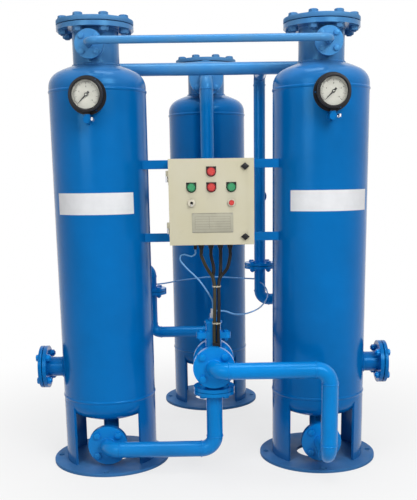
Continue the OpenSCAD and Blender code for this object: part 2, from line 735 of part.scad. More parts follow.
module valve_body() color(blue) row() translate([valve_x, valve_y, 0]) difference() {
  union() {
    translate([0, 0, valve_z]) sphere(r = valve_r);
    translate([0, 0, valve_z - valve_drop]) cylinder(h = valve_drop + bonnet_rise, r = valve_neck_r - 8);
    translate([0, 0, valve_z - valve_drop]) cylinder(h = pipe_flange_t, d = pipe_flange_od);
    translate([0, -valve_reach, valve_z]) rotate([-90, 0, 0]) cylinder(h = 2 * valve_reach, r = valve_neck_r);
    translate([0, -valve_reach, valve_z]) rotate([-90, 0, 0]) cylinder(h = pipe_flange_t, d = pipe_flange_od);
    translate([0, valve_reach, valve_z]) rotate([90, 0, 0]) cylinder(h = pipe_flange_t, d = pipe_flange_od);
    translate([0, 0, bonnet_z - bonnet_t]) oval_plate(bonnet_t);
  }
  aim([0, -valve_reach, valve_z], [0, 1, 0]) hole_ring(pipe_pcd, 4, m16_hole_d, pipe_flange_t);
  aim([0, valve_reach, valve_z], [0, -1, 0]) hole_ring(pipe_pcd, 4, m16_hole_d, pipe_flange_t);
  aim([0, 0, valve_z - valve_drop], [0, 0, 1]) hole_ring(pipe_pcd, 4, m16_hole_d, pipe_flange_t);
  translate([0, 0, bonnet_z - bonnet_t]) bonnet_holes(bonnet_t);
}

// Bonnet with the two bolts that hold it
module valve_bonnet() color(blue) row() translate([valve_x, valve_y, bonnet_z]) {
  difference() {
    oval_plate(bonnet_t);
    bonnet_holes(bonnet_t);
  }
  for (side = [-1, 1]) translate([side * bonnet_pitch / 2, 0, -bonnet_t]) bolt(m10, 2 * bonnet_t);
}

actuator_z = bonnet_z + bonnet_t;
cap_h = 10;

// Short air cylinder with a stepped cap and a hexagon boss
module valve_actuator() color(blue) row() translate([valve_x, valve_y, actuator_z]) {
  cylinder(h = actuator_h - cap_h, r = actuator_r - 4);
  cylinder(h = cap_h / 2, r = actuator_r);
  translate([0, 0, actuator_h - 2 * cap_h]) cylinder(h = cap_h, r = actuator_r);
  translate([0, 0, actuator_h - cap_h]) cylinder(h = cap_h, r = actuator_r / 2);
}

fitting_d = 24;
fitting_top_d = 17;
fitting_h = 33;
tube_d = 6;

// Push-in air fitting on the actuator
module actuator_fitting() color("whitesmoke") row() translate([valve_x, valve_y, actuator_z + actuator_h]) {
  cylinder(h = fitting_h / 2, d = fitting_d, $fn = 6);
  translate([0, 0, fitting_h / 2]) cylinder(h = fitting_h / 2, d = fitting_top_d);
}

pilot_w = 28;
pilot_d = 18;
pilot_x = valve_x + 10;
pilot_y = valve_front_y + pipe_flange_t + pilot_d / 2 + seat_gap;
pilot_top_z = valve_z + 88;
pilot_cap_d = 27;
pilot_cap_h = 11;
bundle_y = pilot_y - 1.5;

// Terminal block on top of the valve's front neck, where the cables end
module pilot_block() color(black) row() difference() {
  union() {
    translate([pilot_x - pilot_w / 2, pilot_y - pilot_d / 2, valve_z]) cube([pilot_w, pilot_d, pilot_top_z - valve_z]);
    translate([pilot_x - pilot_w / 2, bundle_y - pilot_cap_d / 2, pilot_top_z - pilot_cap_h])
      cube([pilot_w, pilot_cap_d, pilot_cap_h]);
  }
  translate([valve_x, valve_front_y, valve_z]) rotate([-90, 0, 0])
    cylinder(h = 2 * valve_reach, r = valve_neck_r + weld_gap);
  translate([valve_x, valve_y, valve_z]) sphere(r = valve_r + weld_gap);
}

// Gauges

function gauge_x(side) = side * (tower_x + gauge_offset);

module gauge_place(side) aim([gauge_x(side), gauge_y + case_depth / 2, gauge_z], [0, -1, 0]) children();

stem_w = 16;
stem_foot_z = cock_z + cock_d / 2 + 4;
bezel_w = 11;
back_t = 3;
back_flange_t = 4;
back_hole_d = 5;
back_hole_edge = 7;

module gauge_cases() color(black) row() for (side = [-1, 1]) {
  difference() {
    union() {
      gauge_place(side) cylinder(h = case_depth, d = case_od);
      gauge_place(side) cylinder(h = back_flange_t, d = back_flange_od);
      gauge_place(side) translate([0, 0, case_depth - bezel_w]) cylinder(h = bezel_w, d = bezel_od);
      translate([gauge_x(side) - stem_w / 2, gauge_y - stem_w / 2, stem_foot_z])
        cube([stem_w, stem_w, gauge_z - stem_foot_z]);
    }
    gauge_place(side) translate([0, 0, back_t]) cylinder(h = case_depth, d = case_id);
    gauge_place(side) hole_ring(back_flange_od - 2 * back_hole_edge, 3, back_hole_d, back_flange_t);
  }
}

dial_t = 1.5;
dial_drop = 20;
post_d = 5;
window_t = 3;
pointer_z = case_depth - dial_drop + dial_t + 3;
pointer_t = 1.5;

// Dial with the post that the pointer turns on
module gauge_dials() color("ivory") row() for (side = [-1, 1]) gauge_place(side) {
  translate([0, 0, case_depth - dial_drop]) cylinder(h = dial_t, d = case_id - 2 * seat_gap);
  translate([0, 0, case_depth - dial_drop]) cylinder(h = dial_t + 10, d = post_d);
}

module gauge_windows() color("lightcyan", 0.3) row() for (side = [-1, 1]) gauge_place(side)
  translate([0, 0, case_depth - 2 - window_t]) cylinder(h = window_t, d = case_id - 2 * seat_gap);

needle_l = 38;
tail_l = 14;

// Pointer at rest on the zero of the scale, low on the left
module pointer(side) color(black) row() gauge_place(side) rotate(225) translate([0, 0, pointer_z]) difference() {
  union() {
    cylinder(h = 4, d = 12);
    linear_extrude(pointer_t) polygon([[-tail_l, -4], [-tail_l, 4], [0, 3], [needle_l, 0.8], [needle_l, -0.8], [0, -3]]);
  }
  translate([0, 0, -1]) cylinder(h = 8, d = post_d + 2 * run_gap);
}
module left_pointer() pointer(-1);
module right_pointer() pointer(1);

spindle_in = 8;

// Gauge cock from the tower's wall to below the gauge's stem
module gauge_cocks() color(blue) row() for (side = [-1, 1]) difference() {
  union() {
    aim([gauge_x(side), gauge_y - cock_d / 2, cock_z], [0, 1, 0]) cylinder(h = gauge_stand + cock_d, d = cock_d);
    translate([gauge_x(side), gauge_y, cock_z]) cylinder(h = stem_foot_z - cock_z, d = cock_d - 4);
  }
  translate([side * tower_x, 0, cock_z - cock_d]) cylinder(h = 2 * cock_d, r = tower_r + weld_gap);
  aim([gauge_x(side) + cock_d / 2 - spindle_in, gauge_y, cock_z], [1, 0, 0])
    cylinder(h = cock_d, d = spindle_d + 2 * run_gap);
}

// Lever along the flow when the cock is open
module cock_handle(side) color(steel) row() translate([gauge_x(side) + cock_d / 2, gauge_y, cock_z]) {
  aim([seat_gap - spindle_in, 0, 0], [1, 0, 0]) cylinder(h = spindle_in + 10, d = spindle_d);
  aim([4, 0, 0], [1, 0, 0]) cylinder(h = 6, d = spindle_d + 4);
  translate([4, -lever_l, -spindle_d / 2]) cube([6, lever_l, spindle_d]);
}
module left_cock_handle() cock_handle(-1);
module right_cock_handle() cock_handle(1);

// Control panel

module panel_box() color(cream) row() difference() {
  translate([-panel_r, -panel_back_y - box_depth, panel_z - panel_r]) cube([panel_w, box_depth, panel_w]);
  translate([sheet_t - panel_r, -panel_back_y - box_depth - 1, panel_z - panel_r + sheet_t])
    cube([panel_w - 2 * sheet_t, box_depth + 1 - sheet_t, panel_w - 2 * sheet_t]);
}

knuckle_h = 20;

// Half of a hinge knuckle above z, with the arm that carries it
module hinge_half(arm_y) {
  cylinder(h = knuckle_h, d = knuckle_d);
  translate([0, min(0, arm_y), 0]) cube([-panel_r - hinge_x, abs(arm_y), knuckle_h]);
}

function lock_at(rise) = [lock_x, door_front_y, panel_z + rise];
function lamp_at(a, b) = [a * lamp_pitch_x, door_front_y, panel_z + lamp_row + b * lamp_pitch_z];
red_lamp_spots = [lamp_at(0, 0), lamp_at(0, 1)];
green_lamp_spots = [lamp_at(-1, 0), lamp_at(1, 0)];
toggle_at = lamp_at(-1, -1);
reset_at = lamp_at(1, -1);
barrel_d = 22;
toggle_bore = 10;
reset_d = 18;

// Folded tray with its half of the hinges and holes for locks and controls
module panel_door() color(cream) row() {
  difference() {
    translate([-panel_r, door_front_y, panel_z - panel_r]) cube([panel_w, door_depth, panel_w]);
    translate([sheet_t - panel_r, door_front_y + sheet_t, panel_z - panel_r + sheet_t])
      cube([panel_w - 2 * sheet_t, door_depth, panel_w - 2 * sheet_t]);
    for (rise = [-lock_rise, lock_rise]) aim(lock_at(rise) - [0, 1, 0], [0, 1, 0])
      cylinder(h = sheet_t + 2, d = lock_d + 2 * run_gap);
    for (p = concat(red_lamp_spots, green_lamp_spots, [toggle_at, reset_at])) aim(p - [0, 1, 0], [0, 1, 0])
      cylinder(h = sheet_t + 2, d = barrel_d + 2 * weld_gap);
  }
  for (rise = [-hinge_rise, hinge_rise]) translate([hinge_x, hinge_y, panel_z + rise + seat_gap]) difference() {
    hinge_half(-knuckle_d);
    translate([0, 0, -1]) cylinder(h = knuckle_h + 2, d = hinge_pin_d + 2 * run_gap);
  }
}

// Fixed half of each hinge with its pin and the leaf on the box's side
module panel_hinges() color(steel) row() for (rise = [-hinge_rise, hinge_rise])
  translate([hinge_x, hinge_y, panel_z + rise - knuckle_h]) {
    hinge_half(knuckle_d);
    cylinder(h = 2 * knuckle_h, d = hinge_pin_d);
    translate([-panel_r - hinge_x - sheet_t, knuckle_d / 2, -knuckle_h / 2]) cube([sheet_t, 22, 2 * knuckle_h]);
  }

wing_l = 28;
wing_w = 15;
cam_l = 13;

// Quarter-turn lock with a diamond wing in front and a short cam behind
module door_lock(rise) color(black) row() aim(lock_at(rise), [0, -1, 0]) {
  translate([0, 0, -door_depth]) cylinder(h = door_depth + seat_gap, d = lock_d);
  translate([0, 0, seat_gap]) linear_extrude(6)
    polygon([[-wing_l / 2, 0], [0, wing_w / 2], [wing_l / 2, 0], [0, -wing_w / 2]]);
  translate([0, 0, seat_gap]) cylinder(h = 4, d = wing_w + 5);
  translate([-6, -cam_l, -door_depth]) cube([12, 2 * cam_l, 3]);
}
module upper_lock() door_lock(lock_rise);
module lower_lock() door_lock(-lock_rise);

lens_h = 12;
plate_w = 35;
plate_t = 2;
body_l = 38;

// Lens with a stepped rim
module lens(p) aim(p - [0, plate_t, 0], [0, -1, 0]) {
  cylinder(h = lens_h - 3, d = lens_d);
  cylinder(h = lens_h, d = lens_d - 6);
}
module red_lamps() color("firebrick") row() for (p = red_lamp_spots) lens(p);
module green_lamps() color("seagreen") row() for (p = green_lamp_spots) lens(p);

// Plates with round lower ends and bodies of the lamps, and the bushes of the toggle and the button
module control_bezels() color(black) row() {
  for (p = concat(red_lamp_spots, green_lamp_spots)) {
    aim(p, [0, -1, 0]) linear_extrude(plate_t) {
      circle(d = plate_w);
      translate([-plate_w / 2, 0]) square([plate_w, plate_w / 2]);
    }
    aim(p, [0, 1, 0]) cylinder(h = body_l, d = barrel_d);
  }
  for (p = [toggle_at, reset_at]) difference() {
    union() {
      aim(p - [0, 5, 0], [0, 1, 0]) cylinder(h = 5, d = barrel_d + 4);
      aim(p, [0, 1, 0]) cylinder(h = body_l / 2, d = barrel_d);
    }
    aim(p - [0, 6, 0], [0, 1, 0]) cylinder(h = 18, d = (p == toggle_at ? toggle_bore : reset_d) + 2 * seat_gap);
  }
}

toggle_tilt = 15;
toggle_pin_d = 3;
toggle_pivot = toggle_at + [0, 4, 0];

// Toggle lever on its cross pin, down at rest
module toggle_lever() color(steel) row() aim(toggle_pivot, [0, -cos(toggle_tilt), -sin(toggle_tilt)]) {
  sphere(d = 7);
  rotate([0, 90, 0]) cylinder(h = toggle_bore - 1, d = toggle_pin_d, center = true);
  cylinder(h = 22, d = 4);
  translate([0, 0, 16]) cylinder(h = 8, d = 6);
}

// Push button that moves into its bush
module reset_button() color("firebrick") row() aim(reset_at + [0, 6, 0], [0, -1, 0]) cylinder(h = 15, d = reset_d);

function gland_x(i) = (i - 1) * gland_pitch - 4;
tube_port_x = gland_x(0) - 22;

module cable_glands() color(black) row() {
  for (i = [0 : 3]) translate([gland_x(i), gland_y, gland_bottom_z]) {
    translate([0, 0, gland_l - 8]) cylinder(h = 8, d = gland_d * 1.15, $fn = 6);
    translate([0, 0, 6]) cylinder(h = gland_l - 10, d = gland_d);
    cylinder(h = 7, d = gland_d - 5);
  }
  translate([tube_port_x, gland_y, gland_bottom_z]) cylinder(h = gland_l, d = fitting_d / 2);
}

stand_off = 12;
mount_w = 240;

module mounting_plate() color("lightgray") row() translate([0, -panel_back_y - sheet_t, panel_z]) {
  translate([-mount_w / 2, -stand_off - sheet_t, -mount_w / 2]) cube([mount_w, sheet_t, mount_w]);
  for (a = [-1, 1]) for (b = [-1, 1]) aim([a * (mount_w / 2 - 12), 0, b * (mount_w / 2 - 12)], [0, -1, 0])
    cylinder(h = stand_off, d = 10);
}

timer_w = 90;
timer_h = 80;
timer_d = 58;
timer_face_w = 70;
timer_face_h = 40;
timer_face_d = 7;
timer_face_rise = 12;
strip_w = 200;
strip_h = 35;
strip_d = 8;
strip_drop = 84;
terminals = 12;
terminal_pitch = 15;
terminal_w = 13;
terminal_h = 43;
terminal_d = 35;

// Timer module and terminal strip on their plate
module controller() color("dimgray") row() translate([0, -panel_back_y - 2 * sheet_t - stand_off, panel_z]) {
  translate([-timer_w / 2, -timer_d, 0]) cube([timer_w, timer_d, timer_h]);
  translate([-timer_face_w / 2, 1 - timer_d - timer_face_d, timer_face_rise])
    cube([timer_face_w, timer_face_d, timer_face_h]);
  translate([-strip_w / 2, -strip_d, -strip_drop]) cube([strip_w, strip_d, strip_h]);
  for (k = [0 : terminals - 1])
    translate([(k - terminals / 2) * terminal_pitch, 1 - strip_d - terminal_d, (strip_h - terminal_h) / 2 - strip_drop])
      cube([terminal_w, terminal_d, terminal_h]);
}

// Flat bar from tower to tower that carries the panel's back
module panel_rail(rise) color(blue) row() difference() {
  translate([-tower_x, -panel_back_y, panel_z + rise - rail_w / 2]) cube([tower_pitch, rail_t, rail_w]);
  for (side = [-1, 1]) translate([side * tower_x, 0, panel_z + rise - rail_w])
    cylinder(h = 2 * rail_w, r = tower_r + weld_gap);
}
module upper_rail() panel_rail(rail_rise);
module lower_rail() panel_rail(-rail_rise);

// Cables and air tubes, as routes of points measured from the front row

cable_d = 12;
cable_sides = 8;

// Catmull-Rom point between b and c
function spline(a, b, c, d, t) =
  ((2 * b) + (c - a) * t + (2 * a - 5 * b + 4 * c - d) * t * t + (3 * b - a - 3 * c + d) * t * t * t) / 2;

function smooth(pts, steps) = concat(
  [for (i = [0 : len(pts) - 2]) for (s = [0 : steps - 1])
    spline(pts[max(i - 1, 0)], pts[i], pts[i + 1], pts[min(i + 2, len(pts) - 1)], s / steps)],
  [pts[len(pts) - 1]]);

function tangent(line, i) = unit(line[min(i + 1, len(line) - 1)] - line[max(i - 1, 0)]);

// A direction that no cord runs along
cord_side = [1, -1, 1.4];

// Ring of points round the route
function ring(line, i, d) =
  let (w = tangent(line, i), u = unit(cross(cord_side, w)), v = cross(w, u))
  [for (k = [0 : cable_sides - 1])
    line[i] + (u * cos(k * 360 / cable_sides) + v * sin(k * 360 / cable_sides)) * d / 2];

module cord(pts, steps, d) {
  line = smooth(pts, steps);
  rings = len(line);
  n = cable_sides;
  polyhedron(
    points = [for (i = [0 : rings - 1]) each ring(line, i, d)],
    faces = concat(
      [[for (k = [0 : n - 1]) k]],
      [for (i = [0 : rings - 2]) for (k = [0 : n - 1])
        [i * n + k, (i + 1) * n + k, (i + 1) * n + (k + 1) % n, i * n + (k + 1) % n]],
      [[for (k = [n - 1 : -1 : 0]) (rings - 1) * n + k]]),
    convexity = 6);
}

// From gland i down into the bundle, at its own place there
function cable_route(i, dx, dy) = [
  [gland_x(i), gland_y, gland_bottom_z],
  [gland_x(i), gland_y, gland_bottom_z - 12],
  [gland_x(i), gland_y, gland_bottom_z - 25],
  [gland_x(i) * 0.7 + 8, -172, 775],
  [14 + 1.7 * dx, -194 + 1.6 * dy, 745],
  [14 + dx, -207 + 1.1 * dy, 715],
  [14 + dx, -223 + dy, 660],
  [12 + dx, bundle_y - 2 + dy, 600],
  [pilot_x + dx, bundle_y + dy, 560],
  [pilot_x + dx, bundle_y + dy, 535],
  [pilot_x + dx, bundle_y + dy, pilot_top_z]
];

module cable_1() color("#55523f") row() cord(cable_route(0, -7.5, -6.5), 2, cable_d);
module cable_2() color(black) row() cord(cable_route(1, -7.5, 6.5), 2, cable_d);
module cable_3() color(black) row() cord(cable_route(2, 7.5, 6.5), 2, cable_d);
module cable_4() color(black) row() cord(cable_route(3, 7.5, -6.5), 2, cable_d);

// Signal air tube from the panel to the actuator
module signal_tube() color("lightsteelblue") row() cord([
  [tube_port_x, gland_y, gland_bottom_z],
  [tube_port_x, gland_y, gland_bottom_z - 8],
  [tube_port_x, gland_y, gland_bottom_z - 16],
  [-76, -151, 818],
  [-100, -153, 826],
  [-116, -156, 820],
  [-116, -158, 804],
  [-104, -161, 788],
  [-87, -164, 770],
  [-50, -170, 734],
  [-20, -178, 692],
  [-4, -184, 664],
  [valve_x, valve_y, 650],
  [valve_x, valve_y, 640],
  [valve_x, valve_y, actuator_z + actuator_h + fitting_h]
], 3, tube_d);

// Tube from the inlet drop across to the outlet riser
module cross_tube() color("lightsteelblue") row() cord([
  [inlet_x + line_od / 2 + seat_gap, inlet_y, 640],
  [-200, 430, 644],
  [-131, 431, 655],
  [-17, 433, 667],
  [60, 433, 665],
  [135, 431, 660],
  [riser_x - line_od / 2 - seat_gap, riser_y, 657]
], 5, tube_d);

// Tube from the side of the actuator's fitting to the outlet elbow
module riser_tube() color("lightsteelblue") row() cord([
  [valve_x + fitting_top_d / 2 + seat_gap, valve_y, actuator_z + actuator_h + 0.75 * fitting_h],
  [18, valve_y, actuator_z + actuator_h + 0.75 * fitting_h],
  [28, valve_y, actuator_z + actuator_h + 0.75 * fitting_h],
  [48, -172, 616],
  [72, -148, 603],
  [103, -110, 593],
  [147, -20, 585],
  [197, 120, 583],
  [232, 250, 601],
  [236, 320, 622],
  [223, 366, 641],
  [riser_x, 388, 645],
  [riser_x, riser_y - line_od / 2 - seat_gap, 645]
], 3, tube_d);

left_vessel();
right_vessel();
rear_vessel();
left_cover();
right_cover();
rear_cover();
skirt_legs();
base_plates();
desiccant_beds();
bed_screens();
flange_gaskets();
m20_bolts();
m16_bolts();
m12_bolts();
drain_blinds();
left_lower_spool();
right_lower_spool();
valve_body();
valve_bonnet();
valve_actuator();
actuator_fitting();
pilot_block();
purge_line();
outlet_header();
outlet_riser();
outlet_elbow();
rear_downpipe();
inlet_upper();
inlet_lower();
gauge_cases();
gauge_dials();
gauge_windows();
gauge_cocks();
left_pointer();
right_pointer();
left_cock_handle();
right_cock_handle();
panel_box();
panel_door();
panel_hinges();
upper_lock();
lower_lock();
red_lamps();
green_lamps();
control_bezels();
toggle_lever();
reset_button();
cable_glands();
mounting_plate();
controller();
upper_rail();
lower_rail();
cable_1();
cable_2();
cable_3();
cable_4();
signal_tube();
cross_tube();
riser_tube();
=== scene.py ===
import json
import math

import bmesh
import bpy
from mathutils import Matrix, Vector


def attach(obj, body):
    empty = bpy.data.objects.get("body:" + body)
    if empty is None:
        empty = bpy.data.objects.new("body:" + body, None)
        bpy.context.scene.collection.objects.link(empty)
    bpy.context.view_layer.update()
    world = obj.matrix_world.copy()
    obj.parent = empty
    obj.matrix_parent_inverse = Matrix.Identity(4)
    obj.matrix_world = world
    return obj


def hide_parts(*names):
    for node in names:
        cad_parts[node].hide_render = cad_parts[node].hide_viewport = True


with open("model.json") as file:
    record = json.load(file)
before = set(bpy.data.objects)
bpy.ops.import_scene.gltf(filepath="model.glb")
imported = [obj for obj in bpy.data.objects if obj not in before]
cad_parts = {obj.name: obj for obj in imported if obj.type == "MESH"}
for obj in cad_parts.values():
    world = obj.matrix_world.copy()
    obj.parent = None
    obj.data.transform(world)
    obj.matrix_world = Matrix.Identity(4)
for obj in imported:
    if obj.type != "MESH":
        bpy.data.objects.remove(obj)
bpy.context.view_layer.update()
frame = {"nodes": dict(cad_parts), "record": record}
nodes = frame["nodes"]
scene = bpy.context.scene

# The front towers' axes stand on this line, in metres; row() takes places in mm from it
FRONT_ROW = -0.359425

# Places that several pieces share, in mm: x and y from the middle of the front row, z from the floor
TOWER_X, REAR_X, REAR_Y, REAR_DROP = 412, -8, 838, 28
VALVE_Y, VALVE_Z = -185, 425
INLET_X, RISER_X, LINE_Y = -266, 214, 427
HEADER_PORT_Z, NECK_PORT_Z = 1594, 1563

# Outer radii of shells and pipes, in metres
TOWER_R, NECK_R = 0.1778, 0.08415
DRAIN_R, PIPE_R, LINE_R, PURGE_R, COCK_R = 0.03805, 0.03015, 0.02415, 0.01345, 0.013

FORWARD, BACKWARD = (0, -1, 0), (0, 1, 0)


def row(x, y, z):
    return Vector((x / 1000, y / 1000 + FRONT_ROW, z / 1000))


# Camera, fitted to the photograph: pixels in its frame, angles in radians, place in mm
IMAGE_W, IMAGE_H = 417, 500
FOCAL_PX, PRINCIPAL_X, PRINCIPAL_Y = 789.73, 212.689, 336.91
YAW, PITCH, ROLL = 0.008, -0.202, -0.015
CAMERA_AT = (-25.586, -3036.669, 1107.632)
SENSOR_W, CLIP_END = 36, 60

cam_data = bpy.data.cameras.new("camera")
cam = bpy.data.objects.new("camera", cam_data)
scene.collection.objects.link(cam)
fwd = Vector((math.sin(YAW) * math.cos(PITCH), math.cos(YAW) * math.cos(PITCH), math.sin(PITCH)))
level = Vector((math.cos(YAW), -math.sin(YAW), 0))
upward = level.cross(fwd)
cam_x = level * math.cos(ROLL) + upward * math.sin(ROLL)
cam_y = upward * math.cos(ROLL) - level * math.sin(ROLL)
turned = Matrix((cam_x, cam_y, -fwd)).transposed().to_4x4()
cam.matrix_world = Matrix.Translation(row(*CAMERA_AT)) @ turned
cam_data.sensor_width = SENSOR_W
cam_data.lens = SENSOR_W * FOCAL_PX / IMAGE_H
cam_data.shift_x = (IMAGE_W / 2 - PRINCIPAL_X) / IMAGE_H
cam_data.shift_y = (PRINCIPAL_Y - IMAGE_H / 2) / IMAGE_H
cam_data.clip_end = CLIP_END
scene.camera = cam
scene.view_settings.view_transform = "Standard"


# Material helpers


def material(name):
    """New material, with its node tree and shader."""
    m = bpy.data.materials.new(name)
    m.use_nodes = True
    tree = m.node_tree
    return m, tree, tree.nodes["Principled BSDF"]


def texture(tree, kind, scale):
    """Texture node on the object's own coordinates."""
    coord = tree.nodes.new("ShaderNodeTexCoord")
    node = tree.nodes.new(kind)
    node.inputs["Scale"].default_value = scale
    tree.links.new(coord.outputs["Object"], node.inputs["Vector"])
    return node


def noise(tree, scale, detail=3.0, rough=0.55):
    node = texture(tree, "ShaderNodeTexNoise", scale)
    node.inputs["Detail"].default_value = detail
    node.inputs["Roughness"].default_value = rough
    return node.outputs["Fac"]


def ramp(tree, fac, stops):
    """Colour ramp between two stops, each (position, colour)."""
    node = tree.nodes.new("ShaderNodeValToRGB")
    for element, (position, colour) in zip(node.color_ramp.elements, stops):
        element.position = position
        element.color = (*colour, 1)
    tree.links.new(fac, node.inputs["Fac"])
    return node.outputs["Color"]


def mixed(tree, fac, a, b):
    mix = tree.nodes.new("ShaderNodeMix")
    mix.data_type = "RGBA"
    tree.links.new(fac, mix.inputs["Factor"])
    for sock, val in ((mix.inputs["A"], a), (mix.inputs["B"], b)):
        if isinstance(val, tuple):
            sock.default_value = (*val, 1)
        else:
            tree.links.new(val, sock)
    return mix.outputs["Result"]


def bump(tree, bsdf, parts, distance):
    """Chains height maps, each (output, strength), into one normal."""
    last = None
    for height, strength in parts:
        node = tree.nodes.new("ShaderNodeBump")
        node.inputs["Strength"].default_value = strength
        node.inputs["Distance"].default_value = distance
        tree.links.new(height, node.inputs["Height"])
        if last:
            tree.links.new(last, node.inputs["Normal"])
        last = node.outputs["Normal"]
    tree.links.new(last, bsdf.inputs["Normal"])


def product(tree, a, b):
    times = tree.nodes.new("ShaderNodeMath")
    times.operation = "MULTIPLY"
    for sock, val in zip(times.inputs, (a, b)):
        if isinstance(val, float):
            sock.default_value = val
        else:
            tree.links.new(val, sock)
    return times.outputs[0]


def by_height(tree, low, high, at_low, at_high):
    """Value that changes from one height to another and stays level past them."""
    geo = tree.nodes.new("ShaderNodeNewGeometry")
    xyz = tree.nodes.new("ShaderNodeSeparateXYZ")
    tree.links.new(geo.outputs["Position"], xyz.inputs[0])
    run = tree.nodes.new("ShaderNodeMapRange")
    for name, val in (("From Min", low), ("From Max", high), ("To Min", at_low), ("To Max", at_high)):
        run.inputs[name].default_value = val
    tree.links.new(xyz.outputs["Z"], run.inputs["Value"])
    return run.outputs[0]


def grey(v):
    return (v, v, v)


def shade(col, k):
    return tuple(c * k for c in col)


# Materials

# Dirt thins out from the floor up; the paint fades from the upper seams to the necks
DIRT_GREY, DIRT_TOP, DIRT_MOST = (0.10, 0.16, 0.22), 0.16, 0.4
FADED_BLUE, FADE_FROM, FADE_FULL, FADE_MOST = (0.10, 0.25, 0.45), 1.41, 1.53, 0.85
ENAMEL_TINT = (0.2, 0.62, 1, 1)


def enamel(name, base, rough=(0.13, 0.27), grime=0.35, gloss=0.34):
    """Brushed-on enamel: colour drift, specks, dirt near the floor, fading at the top, orange peel."""
    m, t, b = material(name)
    drift = ramp(t, noise(t, scale=3.2, detail=4), [(0.3, shade(base, 0.86)), (0.7, shade(base, 1.1))])
    speck = ramp(t, noise(t, scale=90, detail=5, rough=0.7), [(0.62, grey(0)), (0.78, grey(1))])
    col = mixed(t, product(t, speck, grime), drift, shade(base, 0.55))
    stains = noise(t, scale=22, detail=6, rough=0.65)
    dirt = product(t, by_height(t, 0.0, DIRT_TOP, DIRT_MOST, 0.0), stains)
    col = mixed(t, dirt, col, DIRT_GREY)
    patches = ramp(t, noise(t, scale=9, detail=5), [(0.3, grey(0.5)), (0.7, grey(1))])
    fading = product(t, by_height(t, FADE_FROM, FADE_FULL, 0.0, FADE_MOST), patches)
    col = mixed(t, fading, col, FADED_BLUE)
    t.links.new(col, b.inputs["Base Color"])
    sheen = ramp(t, noise(t, scale=14, detail=4), [(0.3, grey(rough[0])), (0.75, grey(rough[1]))])
    t.links.new(sheen, b.inputs["Roughness"])
    peel = noise(t, scale=260, detail=2)
    brush = noise(t, scale=26)
    bump(t, b, [(peel, 0.10), (brush, 0.12)], distance=0.002)
    b.inputs["Specular IOR Level"].default_value = gloss
    b.inputs["Specular Tint"].default_value = ENAMEL_TINT
    return m


def plain(name, base, rough, metal=0.0, grain=220.0, strength=0.12, drift=0.15, spec=0.5):
    """Moulded or plated surface with slight colour and roughness drift and a fine grain."""
    m, t, b = material(name)
    darker, paler = shade(base, 1 - drift), shade(base, 1 + drift)
    colour = ramp(t, noise(t, scale=30, detail=4), [(0.3, darker), (0.7, paler)])
    t.links.new(colour, b.inputs["Base Color"])
    dull = min(rough * 1.25, 1)
    sheen = ramp(t, noise(t, scale=45, detail=4), [(0.3, grey(rough * 0.8)), (0.7, grey(dull))])
    t.links.new(sheen, b.inputs["Roughness"])
    bump(t, b, [(noise(t, scale=grain), strength)], distance=0.001)
    b.inputs["Metallic"].default_value = metal
    b.inputs["Specular IOR Level"].default_value = spec
    return m


def powder(name, base):
    """Cream powder coat: fine orange peel, faint yellowing and finger grime."""
    m, t, b = material(name)
    yellowed = (base[0] * 0.94, base[1] * 0.92, base[2] * 0.82)
    colour = ramp(t, noise(t, scale=5, detail=4), [(0.35, base), (0.75, yellowed)])
    marks = ramp(t, noise(t, scale=38, detail=6, rough=0.7), [(0.6, grey(0)), (0.85, grey(0.35))])
    t.links.new(mixed(t, marks, colour, shade(base, 0.6)), b.inputs["Base Color"])
    sheen = ramp(t, noise(t, scale=20), [(0.3, grey(0.34)), (0.7, grey(0.5))])
    t.links.new(sheen, b.inputs["Roughness"])
    bump(t, b, [(noise(t, scale=420, detail=2), 0.18)], distance=0.0008)
    return m


def lens(name, base):
    """Ribbed translucent lamp lens."""
    m, t, b = material(name)
    wave = texture(t, "ShaderNodeTexWave", scale=110)
    wave.bands_direction = "X"
    ribs = wave.outputs["Fac"]
    # Colour follows the ribs, paler on their crests and darker in the grooves: painted highlight and shade
    # on the ribs
    colour = ramp(t, ribs, [(0.2, shade(base, 0.7)), (0.8, shade(base, 1.2))])
    t.links.new(colour, b.inputs["Base Color"])
    bump(t, b, [(ribs, 0.4)], distance=0.001)
    b.inputs["Roughness"].default_value = 0.16
    b.inputs["Subsurface Weight"].default_value = 0.15
    b.inputs["Subsurface Radius"].default_value = grey(0.004)
    b.inputs["Coat Weight"].default_value = 0.6
    return m


def beads(name):
    """Small desiccant beads, seen only if a cover is off."""
    m, t, b = material(name)
    cells = texture(t, "ShaderNodeTexVoronoi", scale=220).outputs["Distance"]
    # Colour darkens from each cell's middle to its edge: painted shade in the gaps between the beads
    colour = ramp(t, cells, [(0.1, (0.9, 0.88, 0.84)), (0.6, (0.45, 0.44, 0.42))])
    t.links.new(colour, b.inputs["Base Color"])
    bump(t, b, [(cells, 0.8)], distance=0.002)
    b.inputs["Roughness"].default_value = 0.75
    return m


def clear_glass(name):
    """Thin, slightly wavy gauge window."""
    m, t, b = material(name)
    b.inputs["Base Color"].default_value = (0.98, 1, 1, 1)
    b.inputs["Transmission Weight"].default_value = 1.0
    b.inputs["Roughness"].default_value = 0.02
    b.inputs["IOR"].default_value = 1.05
    bump(t, b, [(noise(t, scale=40, detail=2), 0.02)], distance=0.0005)
    return m


VESSEL_BLUE = (0.0005, 0.138, 0.436)
PIPE_BLUE = (0.001, 0.222, 0.64)
DUSTY_BLUE = (0.03, 0.162, 0.42)
CREAM = (0.57, 0.54, 0.41)
STEEL_GREY, ZINC_GREY = (0.62, 0.62, 0.63), (0.60, 0.61, 0.62)
SHEATH, TUBE_BLUE = (0.009, 0.008, 0.006), (0.13, 0.36, 0.68)

